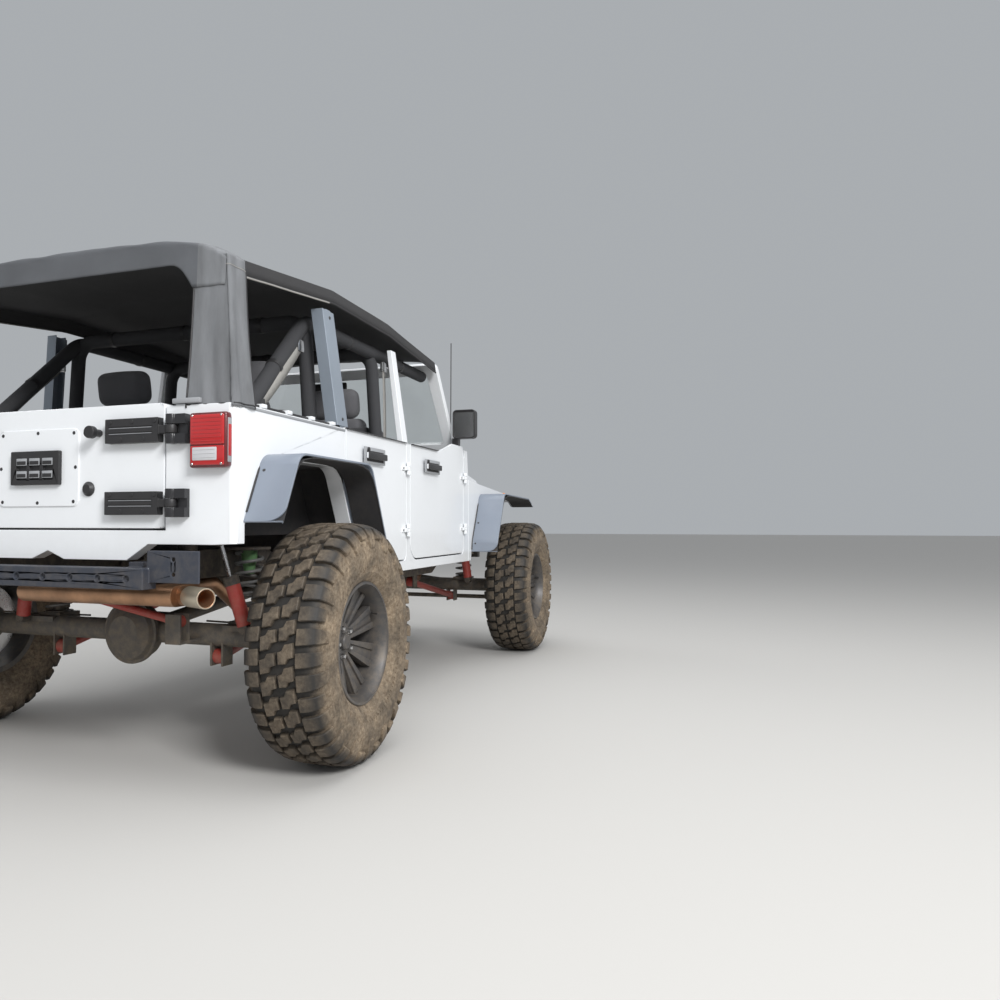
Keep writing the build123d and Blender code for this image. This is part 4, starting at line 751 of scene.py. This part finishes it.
def pad(low, high, radius, puff=0.01, slot=0):
    """Stuffed block: well rounded and a little fuller in its middle."""
    part = block(low, high)
    bmesh.ops.bevel(part, geom=part.edges[:], offset=radius, segments=5, profile=0.5, affect="EDGES",
                    material=-1)
    flat = [e for e in part.edges if e.calc_length() > 0.06]
    bmesh.ops.subdivide_edges(part, edges=flat, cuts=4, use_grid_fill=True)
    middle = (Vector(low) + Vector(high)) / 2
    size = Vector(high) - Vector(low)
    for vert in part.verts:
        spot = vert.co - middle
        near = [1 - min(1.0, abs(2 * spot[i] / size[i])) ** 2 for i in range(3)]
        for i in range(3):
            others = near[(i + 1) % 3] * near[(i + 2) % 3]
            vert.co[i] += math.copysign(puff * others, spot[i]) - 0.2 * puff * others
    return in_slot(part, slot)


def tilt(x, z, turn):
    return Matrix.Translation((x, 0, z)) @ Matrix.Rotation(turn, 4, "Y") @ Matrix.Translation((-x, 0, -z))


def seat(mesh, y, half, x, z, height, head):
    """Cushion, bolsters, back, shell and head rest of one seat; its back leans about the point (x, z)."""
    lean = tilt(x, z, RECLINE)
    top = z + height
    stamp(mesh, pad((x + 0.1, y - half * 0.62, z), (x + 0.45, y + half * 0.62, z + 0.145), 0.03))
    for side in (1, -1):
        inner, outer = sorted((y + side * half * 0.64, y + side * half))
        stamp(mesh, pad((x + 0.08, inner, z + 0.005), (x + 0.44, outer, z + 0.155), 0.028, slot=1))
        stamp(mesh, pad((x - 0.05, inner, z + 0.08), (x + 0.1, outer, top - 0.06), 0.034, slot=1), lean)
    back, shell = half * 0.66, half * 0.9
    stamp(mesh, pad((x - 0.06, y - back, z + 0.06), (x + 0.062, y + back, top), 0.036, 0.014), lean)
    stamp(mesh, block((x - 0.075, y - shell, z + 0.1), (x - 0.045, y + shell, top - 0.04), 0.014, 3, 1), lean)
    rest = pad((x - 0.045, head - 0.128, top + 0.01), (x + 0.05, head + 0.128, top + 0.158), 0.036, 0.008)
    stamp(mesh, rest, lean)
    for post in (head + 0.05, head - 0.05):
        stamp(mesh, wire([(x, post, top - 0.02), (x, post, top + 0.04)], 0.006, slot=2), lean)


covers = [seat_cloth, seat_edge, black_plastic]
chairs, bench = bmesh.new(), bmesh.new()
for side in (1, -1):
    seat(chairs, side * 0.37, 0.24, -0.3, 0.885, 0.562, side * 0.37)
    stamp(chairs, block((-0.27, side * 0.37 - 0.16, 0.708), (0.09, side * 0.37 + 0.16, 0.885), 0.01, slot=2))
    seat(bench, side * 0.255, 0.25, -1.1, 0.93, 0.52, side * 0.33)
stamp(bench, block((-0.9, -0.4, 0.708), (-0.72, 0.4, 0.93), 0.01, slot=2))
piece("front_seat_pads", chairs, covers, replaces="front_seats", angle=60)
piece("rear_bench_pads", bench, covers, replaces="rear_seat", angle=60)

# %% [markdown]
# The belts hang beside the sport bar as plain straps of webbing, each with a fitting at both ends. The bar's
# padding comes in sleeves, and every sleeve ends in a stitched band.

# %% Belts and padding bands
BELTS = {"front": ((-0.418, 0.655, 1.7), (-0.418, 0.655, 1.02)),
         "rear": ((-1.27, 0.638, 1.64), (-1.6, 0.648, 1.345))}
WEB = 0.034
fittings = bmesh.new()
for side_name, side in SIDES:
    for row, ends in BELTS.items():
        high, low = (Vector((x, side * y, z)) for x, y, z in ends)

        def strap_shape(u, v):
            sway = Vector((0.0, side * 0.008 * math.sin(3.1 * v), 0.0))
            return high.lerp(low, v) + Vector(((u - 0.5) * WEB, 0, (0.5 - u) * WEB)) + sway

        cloth("belt_strap_%s_%s" % (row, side_name), sheet_grid(2, 24, strap_shape), [webbing],
              thickness=0.0015)
        for place, half, slot in ((high, 0.026, 0), (low, 0.03, 1)):
            corner = Vector((half, 0.009, half))
            stamp(fittings, block(place - corner, place + corner, 0.006, slot=slot))
piece("belt_fittings", fittings, [bright_steel, black_plastic])

BAR_TOP = 1.7654  # middle of the sport bar's upper tubes
SLOPE = (0.76, 0, 0.64)
bands = bmesh.new()
band = turned([(0.031, -0.012), (0.0352, -0.01), (0.0352, 0.01), (0.031, 0.012)], steps=28)
for side in (1, -1):
    for x, y, z, direction in ((-0.475, 0.64, 1.02, (0, 0, 1)), (-1.18, 0.64, 1.18, (0, 0, 1)),
                               (-0.75, 0.61, BAR_TOP, (1, 0, 0)), (-0.1, 0.61, BAR_TOP, (1, 0, 0)),
                               (-1.45, 0.6215, 1.52, SLOPE), (-1.7, 0.632, 1.3, SLOPE)):
        stamp(bands, band, at((x, side * y, z), direction))
for x in (-0.475, -1.18):
    for y in (-0.4, 0.0, 0.4):
        stamp(bands, band, at((x, y, BAR_TOP), OUT))
piece("bar_padding_bands", bands, [black_plastic])

# %% [markdown]
# Lamps are small but bright, and the eye goes to them first. A tail lamp is a dark bezel, a red lens with
# fine ribs, and a pale reverse window in its lower half. Its side face carries a reflector between grey ends.

# %% Lamps
tail_lamp = [((-2.016, 0.633, 1.082), (-1.979, 0.78, 1.266), 0.01, 3, 1),  # bezel
             ((-2.022, 0.641, 1.158), (-2.012, 0.772, 1.258), 0.007, 3, 0),  # upper lens
             ((-2.02, 0.641, 1.09), (-2.012, 0.772, 1.155), 0.006, 3, 0),  # lower lens
             ((-2.0225, 0.65, 1.105), (-2.012, 0.746, 1.15), 0.004, 2, 2),  # reverse window
             ((-2.008, 0.779, 1.1), (-1.986, 0.7815, 1.246), 0.004, 2, 3),  # grey ends of the side face
             ((-2.006, 0.78, 1.12), (-1.988, 0.783, 1.225), 0.003, 2, 0),  # side reflector
             ((1.6, 0.7, 1.088), (1.624, 0.77, 1.118), 0.005, 2, 7)]  # turn lamp, on the front fender
for z in (1.114, 1.127, 1.14):
    tail_lamp.append(((-2.0236, 0.656, z), (-2.022, 0.74, z + 0.003), 0.0006, 1, 2))
for k in range(7):
    z = 1.168 + 0.0128 * k
    tail_lamp.append(((-2.0236, 0.65, z), (-2.021, 0.763, z + 0.0045), 0.0008, 1, 0))
# half sections of the headlamp, with steps round and slot: bowl, ring, front glass and bulb
headlamp = (([(0.0, -0.03), (0.045, -0.022), (0.075, 0.01), (0.084, 0.05)], 48, 4),
            ([(0.08, 0.056), (0.092, 0.066), (0.095, 0.05), (0.09, -0.02)], 48, 5),
            ([(0.0, 0.074), (0.04, 0.072), (0.066, 0.066), (0.082, 0.058)], 48, 6),
            ([(0.0, 0.02), (0.014, 0.018), (0.016, -0.02)], 20, 4))
lamps = bmesh.new()
lens_screw = turned([(0, 0.002), (0.003, 0.0015), (0.0042, 0)], steps=12, slot=4)
for side in (1, -1):
    stamp_blocks(lamps, tail_lamp, MIRROR[side])
    for y, z in ((0.65, 1.094), (0.763, 1.094), (0.65, 1.254), (0.763, 1.254)):
        stamp(lamps, lens_screw, MIRROR[side] @ at((-2.0215, y, z), BACK))
    for profile, steps, slot in headlamp:
        stamp(lamps, turned(profile, steps, slot), at((1.7, side * 0.42, 1.0804), (1, 0, 0)))
piece("lamp_units", lamps, [red_lens, dark_lens, pale_lens, grey_plastic, bright_steel, black_plastic,
                            lamp_glass, amber_lens], replaces="lamps")

# %% [markdown]
# Hardware is repeated a lot, so it is cheap to add, and it shows how large the panels are. Screws and rivets
# are small turned shapes. On the tailgate they sit round the vent and on the hinge arms. Six light slats fill
# the vent's frame.

# %% Tailgate hardware
screw = turned([(0, 0.0022), (0.0035, 0.002), (0.0062, 0.001), (0.0066, 0)], steps=14)
rivet = turned([(0, 0.003), (0.007, 0.0025), (0.008, 0)], steps=12)
knob = turned([(0, 0.014), (0.016, 0.014), (0.019, 0.01), (0.026, 0.004), (0.026, 0)], steps=28)

gate = bmesh.new()
for y, z in ((-0.12, 1.222), (0.046, 1.226), (0.213, 1.222), (-0.12, 0.976), (0.046, 0.972), (0.213, 0.976),
             (-0.128, 1.099), (0.221, 1.099)):
    stamp(gate, screw, at((-1.984, y, z), BACK))
stamp(gate, knob, at((-1.979, -0.185, 1.02), BACK))
parts = [((-1.99, 0.372, 1.165), (-1.979, 0.482, 1.225), 0.006, 3, 0),
         ((-1.998, 0.385, 1.205), (-1.988, 0.47, 1.222), 0.004, 2, 0)]
for low, height in ((1.167, 0.1), (0.919, 0.096)):
    for k in range(5):
        place = (-2.009, -0.3 - 0.047 * k, low + height * (0.2 if k % 2 else 0.8))
        stamp(gate, rivet, at(place, BACK))
    for z in (low + 0.4 * height, low + 0.6 * height):
        parts.append(((-2.0066, -0.476, z - 0.0016), (-2.0056, -0.294, z + 0.0016), 0, 2, 1))
for y in (-0.04, 0.02, 0.08):
    for z in (1.062, 1.108):
        parts.append(((-2.0035, y, z), (-2.0005, y + 0.048, z + 0.026), 0.002, 2, 1))
        parts.append(((-2.0045, y + 0.003, z + 0.003), (-2.003, y + 0.045, z + 0.016), 0.001, 2, 0))
stamp_blocks(gate, parts)
piece("tailgate_screws_and_grooves", gate, [black_plastic, grey_plastic], body="tailgate")

# %% [markdown]
# Each door has a bar handle in front of a dark plate, which is painted shade for the handle's recess, a lock
# above it, two screws on each hinge leaf and a strip along its top edge. The right side is the mirror image
# of the left one.

# %% Door handles, trims and mirror glass
# for each door: start of the handle, hinge line, ends of the top trim
DOORS = {"front": (-0.183, 0.518, -0.376, 0.03), "rear": (-0.965, -0.439, -1.136, -0.446)}
lock = turned([(0, 0.01), (0.009, 0.009), (0.0105, 0)], steps=20)
for side_name, side in SIDES:
    flip = MIRROR[side]
    for door, (x, pin, trim_rear, trim_front) in DOORS.items():
        z = BELT - 0.112
        grip = bmesh.new()
        stamp_blocks(grip, [
            ((x - 0.018, 0.8015, z - 0.022), (x + 0.218, 0.8065, z + 0.052), 0.0024, 2, 1),
            # dark plate behind the grip: painted shade of the handle's recess
            ((x + 0.006, 0.806, z - 0.012), (x + 0.194, 0.808, z + 0.036), 0.0008, 1, 2),
            ((x - 0.002, 0.8168, z - 0.0015), (x + 0.202, 0.8255, z + 0.0275), 0.004, 3, 0),
            ((x + 0.004, 0.803, z + 0.001), (x + 0.038, 0.818, z + 0.025), 0.003, 2, 0),
            ((x + 0.164, 0.803, z + 0.001), (x + 0.198, 0.818, z + 0.025), 0.003, 2, 0),
            ((trim_rear, 0.7905, BELT - 0.001), (trim_front, 0.8015, BELT + 0.0035), 0.002, 2, 0)], flip)
        stamp(grip, lock, flip @ at((x + 0.02, 0.805, z + 0.04), OUT))
        for hinge_z in (BELT - 0.438, BELT - 0.128):
            for screw_x in (pin - 0.05, pin - 0.024):
                stamp(grip, screw, flip @ at((screw_x, 0.797, hinge_z), OUT))
        piece("handle_and_trim_%s_%s" % (door, side_name), grip, [black_plastic, grey_plastic, dark_liner_and_recess_shade],
              body="door_%s_%s" % (door, side_name))
    glass = bmesh.new()
    stamp(glass, block((0.4125, 0.766, 1.408), (0.4155, 0.889, 1.564), 0.001, 1), flip)
    piece("mirror_glass_" + side_name, glass, [bright_steel], body="door_front_" + side_name)

# %% [markdown]
# The flares are screwed to the body. A dark edging hides the joint along the panel and along the lip, and a
# thin liner closes each flare from below. All three follow the same rounded line of the wheel opening.

# %% Flare edges and liners
rear_edge = [(-1.0, 0.722), (-1.026, 0.782), (-1.205, 1.1384), (-1.805, 1.1384), (-1.925, 0.905)]
front_edge = [(0.69, 0.722), (0.702, 0.782), (0.872, 1.085), (1.56, 1.0704), (1.7, 1.0204)]


def rounded_run(corners, parts=8, passes=3):
    """Points along a bent line, its corners smoothed by averaging neighbours."""
    points = [Vector(a).lerp(Vector(b), t / parts)
              for a, b in zip(corners, corners[1:]) for t in range(parts)]
    points.append(Vector(corners[-1]))
    for _ in range(passes):
        inner = [(a + 2 * b + c) / 4 for a, b, c in zip(points, points[1:], points[2:])]
        points = [points[0]] + inner + [points[-1]]
    return points


def shifted(points, distance):
    """The same line moved sideways: a positive distance moves it away from the wheel."""
    moved = []
    for before, point, after in zip([points[0]] + points, points, points[1:] + [points[-1]]):
        run = (after - before).normalized()
        way = 1 if points[-1].x > points[0].x else -1
        moved.append(point + Vector((-run.y, run.x)) * distance * way)
    return moved


FLARE_IN = 0.804
stand = Matrix.Translation((0, -FLARE_IN, 0)) @ Matrix.Rotation(math.pi / 2, 4, "X")
edging = bmesh.new()
lining = bmesh.new()
for corners, edge_y in ((rear_edge, 0.94), (front_edge, 0.96)):
    run = rounded_run(corners)
    liner = prism([tuple(p) for p in shifted(run, -0.005) + shifted(run, -0.0075)[::-1]], edge_y - 0.806)
    for side in (1, -1):
        stamp(lining, liner, MIRROR[-side] @ stand)
        stamp(edging, wire([(p.x, side * 0.7925, p.y) for p in shifted(run, 0.004)[1:-1]], 0.0045))
        lip = shifted(run, -0.006)[9:-9]
        stamp(edging, wire([(p.x, side * (edge_y - 0.003), p.y) for p in lip], 0.003))
        for p, out in list(zip(run, shifted(run, 0.0042)))[6:-6:5]:
            away = Vector((out.x - p.x, 0, out.y - p.y)).normalized()
            stamp(edging, screw, at((out.x, side * 0.814, out.y), away))
piece("flare_edges_and_screws", edging, [black_plastic])
piece("flare_liners", lining, [dark_liner_and_recess_shade])

# %% [markdown]
# At the front there are slats on the cowl, wiper arms with their blades, the inside mirror on its stalk, two
# latches and two rubber buffers on the hood, and a fine mesh behind the grille's slots.

# %% Cowl, hood and grille fittings
small = bmesh.new()
bolt = turned([(0, 0.006), (0.0065, 0.0055), (0.008, 0.004), (0.008, 0.0012), (0.0125, 0.0012), (0.0125, 0)],
              steps=6)
for y in (-0.46, -0.3, -0.14, 0.02, 0.18, 0.34):
    stamp(small, block((0.53, y, 1.3452), (0.59, y + 0.11, 1.3468)))
for side in (1, -1):
    arm = [(0.585, side * 0.1, 1.35), (0.56, side * 0.12, 1.372), (0.515, side * 0.36, 1.392)]
    stamp(small, wire(arm, 0.006))
    stamp(small, block((0.505, 0.16, 1.386), (0.515, 0.52, 1.396), 0.002), MIRROR[side])
    stamp(small, bolt, at((0.575, side * 0.66, 1.3455)))
stamp(small, block((0.262, -0.115, 1.7), (0.285, 0.115, 1.765), 0.01, 3))
stamp(small, wire([(0.275, 0, 1.75), (0.3, 0, 1.8)], 0.007))
piece("cowl_and_screen_fittings", small, [black_plastic])
latches = bmesh.new()
buffer = turned([(0, 0.012), (0.008, 0.01), (0.012, 0)], steps=16)
for flip in MIRROR.values():
    stamp(latches, block((1.56, 0.548, 1.118), (1.6, 0.566, 1.19), 0.005, 3), flip)
    stamp(latches, wire([(1.58, 0.566, 1.182), (1.58, 0.576, 1.15), (1.58, 0.566, 1.122)], 0.004), flip)
    stamp(latches, buffer, flip @ at((1.25, 0.22, 1.281)))
piece("hood_latches", latches, [black_plastic], body="hood")
nose = bmesh.new()
for k in range(-9, 10):
    stamp(nose, block((1.706, 0.03 * k - 0.001, 0.865), (1.709, 0.03 * k + 0.001, 1.16)))
for k in range(11):
    stamp(nose, block((1.704, -0.29, 0.87 + 0.028 * k), (1.706, 0.29, 0.872 + 0.028 * k)))
piece("grille_mesh", nose, [black_plastic])

# %% [markdown]
# Underneath, real springs replace the plain stacks of rings. A helix is a wire whose points climb as they
# turn. The shock absorbers get a red body, a bright rod and rubber at both ends.

# %% Springs and shock absorbers
SPRING_Y, COIL, STEPS_A_TURN, STEPS = 0.49, 0.053, 20, 130
springs = bmesh.new()
bump_stop = turned([(0, 0.1), (0.02, 0.095), (0.03, 0.04), (0.034, 0.0), (0, 0)], steps=28, slot=1)
cup = turned([(0, 0), (0.058, 0), (0.058, 0.006), (0.03, 0.01), (0.028, 0.03), (0, 0.03)], steps=32, slot=4)
for x in (1.473, -1.413):
    for y in (SPRING_Y, -SPRING_Y):
        turns = [t * math.tau / STEPS_A_TURN for t in range(STEPS + 1)]
        helix = [(x + COIL * math.cos(turn), y + COIL * math.sin(turn), 0.512 + 0.272 * t / STEPS)
                 for t, turn in enumerate(turns)]
        stamp(springs, wire(helix, 0.0065))
        stamp(springs, bump_stop, at((x, y, 0.79), DOWN))
        stamp(springs, cup, at((x, y, 0.505)))
# foot and head of the rear and the front shock absorber, and their parts: both ends, radius, slot, roundness
shocks = [((-1.548, 0.56, 0.49), (-1.593, 0.47, 0.83)), ((1.363, 0.56, 0.49), (1.363, 0.5, 0.88))]
tubes = ((0.04, 0.56, 0.029, 2, 5), (0.5, 0.6, 0.031, 4, 5), (0.56, 0.98, 0.0095, 3, 3))
half_eye = Vector((0.022, 0, 0))
for foot, head in shocks:
    for flip in MIRROR.values():
        low, high = flip @ Vector(foot), flip @ Vector(head)
        for start, end, radius, slot, sides in tubes:
            stamp(springs, wire([low.lerp(high, start), low.lerp(high, end)], radius, slot, sides))
        for eye in (low, high):
            stamp(springs, wire([eye - half_eye, eye + half_eye], 0.021, slot=4, sides=4))
piece("coils_and_shocks", springs, [coil_grey, stop_green, link_red, bright_steel, chassis_black],
      replaces="springs_shocks")

# %% [markdown]
# Thin brake lines run along the frame and the rear axle. The pipe's open tip wears a pale sleeve, stained by
# heat in front of it.

# %% Brake lines and pipe tip
lines = bmesh.new()
for side in (1, -1):
    axle_line = [(-1.43, side * 0.3, 0.497), (-1.46, side * 0.52, 0.498), (-1.47, side * 0.76, 0.5)]
    frame_line = ((-1.3, 0.74), (-1.1, 0.72), (-0.95, 0.6), (0.8, 0.6), (1.05, 0.7))
    stamp(lines, wire(axle_line, 0.004))
    stamp(lines, wire([(x, side * 0.434, z) for x, z in frame_line], 0.004))
piece("brake_lines", lines, [chassis_black])
tip_start, tip_end = Vector((-1.865, -0.48, 0.645)), Vector((-1.957, -0.665, 0.645))
sleeve = bmesh.new()
ring = turned([(0.031, 0.09), (0.0352, 0.09), (0.0362, 0.094), (0.0362, 0.202), (0.035, 0.2064),
               (0.031, 0.2064)], steps=44)
stamp(sleeve, ring, at(tip_start, tip_end - tip_start))
piece("exhaust_tip_sleeve", sleeve, [pipe_tip])

# %% [markdown]
# Through the windscreen one sees the dashboard: a hood over the dials, four round air vents, a control panel
# and the gear lever. Nothing of it shows in the photograph, so it is kept plain.

# %% Dashboard details
dash = bmesh.new()
stamp(dash, block((0.345, 0.245, 1.262), (0.52, 0.525, 1.318), 0.02, 4))
vent = turned([(0, 0.004), (0.03, 0.003), (0.036, 0.008), (0.04, 0)], steps=28)
for y in (-0.6, -0.1, 0.1, 0.6):
    stamp(dash, vent, at((0.379, y, 1.215), (-1, 0, 0.1)))
stamp(dash, block((0.375, -0.075, 1.09), (0.384, 0.075, 1.18), 0.003, 2))
stamp(dash, wire([(0.18, 0, 0.8), (0.14, 0, 1.02)], 0.008))
lever_knob = turned([(0, 0.024), (0.016, 0.018), (0.022, 0), (0.014, -0.018), (0, -0.022)], steps=24)
stamp(dash, lever_knob, at((0.14, 0, 1.03)))
piece("dashboard_details", dash, [black_plastic])

# %% [markdown]
# The photograph was taken close behind the right rear wheel, at the height of an adult's waist. The camera
# stands at that place. A small sideways shift keeps the upright edges upright while the vehicle sits left of
# the middle, as in the photograph.

# %% Camera, floor and light
camera_yaw = math.radians(20.5)
camera_pitch = math.radians(1.55)
camera_data = bpy.data.cameras.new("camera")
camera_data.lens = 29.6
camera_data.shift_x = 0.08
camera = placed("camera", camera_data)
camera.location = (-4.3, -2.308, 0.902)
look = Vector((math.cos(camera_yaw) * math.cos(camera_pitch), math.sin(camera_yaw) * math.cos(camera_pitch),
               math.sin(camera_pitch)))
camera.rotation_mode = "QUATERNION"
camera.rotation_quaternion = look.to_track_quat("-Z", "Y")
scene.camera = camera

floor_mesh = bmesh.new()
bmesh.ops.create_grid(floor_mesh, x_segments=1, y_segments=1, size=60)
floor_data = bpy.data.meshes.new("floor")
floor_mesh.to_mesh(floor_data)
floor = placed("floor", floor_data)
floor_finish, _, shader = blank("pale floor")
shader.inputs["Base Color"].default_value = (0.5, 0.49, 0.47, 1)
shader.inputs["Roughness"].default_value = 0.95
floor_data.materials.append(floor_finish)

# the world lights everything softly, but the camera sees a plain grey behind the vehicle
world = bpy.data.worlds.new("studio")
scene.world = world
world.use_nodes = True
tree = world.node_tree
glow = tree.nodes["Background"]
glow.inputs["Color"].default_value = (0.93, 0.96, 1.0, 1)
glow.inputs["Strength"].default_value = 0.55
wall = node(tree, "ShaderNodeBackground", Color=(0.4, 0.42, 0.44, 1), Strength=1.0)
path = node(tree, "ShaderNodeLightPath")
either = node(tree, "ShaderNodeMath", operation="MAXIMUM")
link(path, "Is Camera Ray", either, 0)
link(path, "Is Transmission Ray", either, 1)
mix = node(tree, "ShaderNodeMixShader")
for socket, origin in enumerate((either, glow, wall)):
    link(origin, 0, mix, socket)
link(mix, 0, tree.nodes["World Output"], "Surface")


def softbox(name, place, target, width, power):
    """A large square lamp that looks at a point."""
    data = bpy.data.lights.new(name, "AREA")
    data.size = width
    data.energy = power
    lamp = placed(name, data)
    lamp.location = place
    lamp.rotation_mode = "QUATERNION"
    lamp.rotation_quaternion = (Vector(target) - Vector(place)).to_track_quat("-Z", "Y")


# name, place, point it looks at, width in metres, power in watts
softbox("sky", (-1.0, -1.0, 7.5), (0, 0, 0.8), 7.0, 330)
softbox("key", (-6.0, -6.0, 5.2), (-0.5, 0, 0.9), 2.4, 620)
softbox("fill", (3.0, 6.5, 3.5), (0, 0, 0.9), 4.0, 120)
print("camera at", tuple(round(c, 3) for c in camera.location), "lamps:", len(bpy.data.lights))
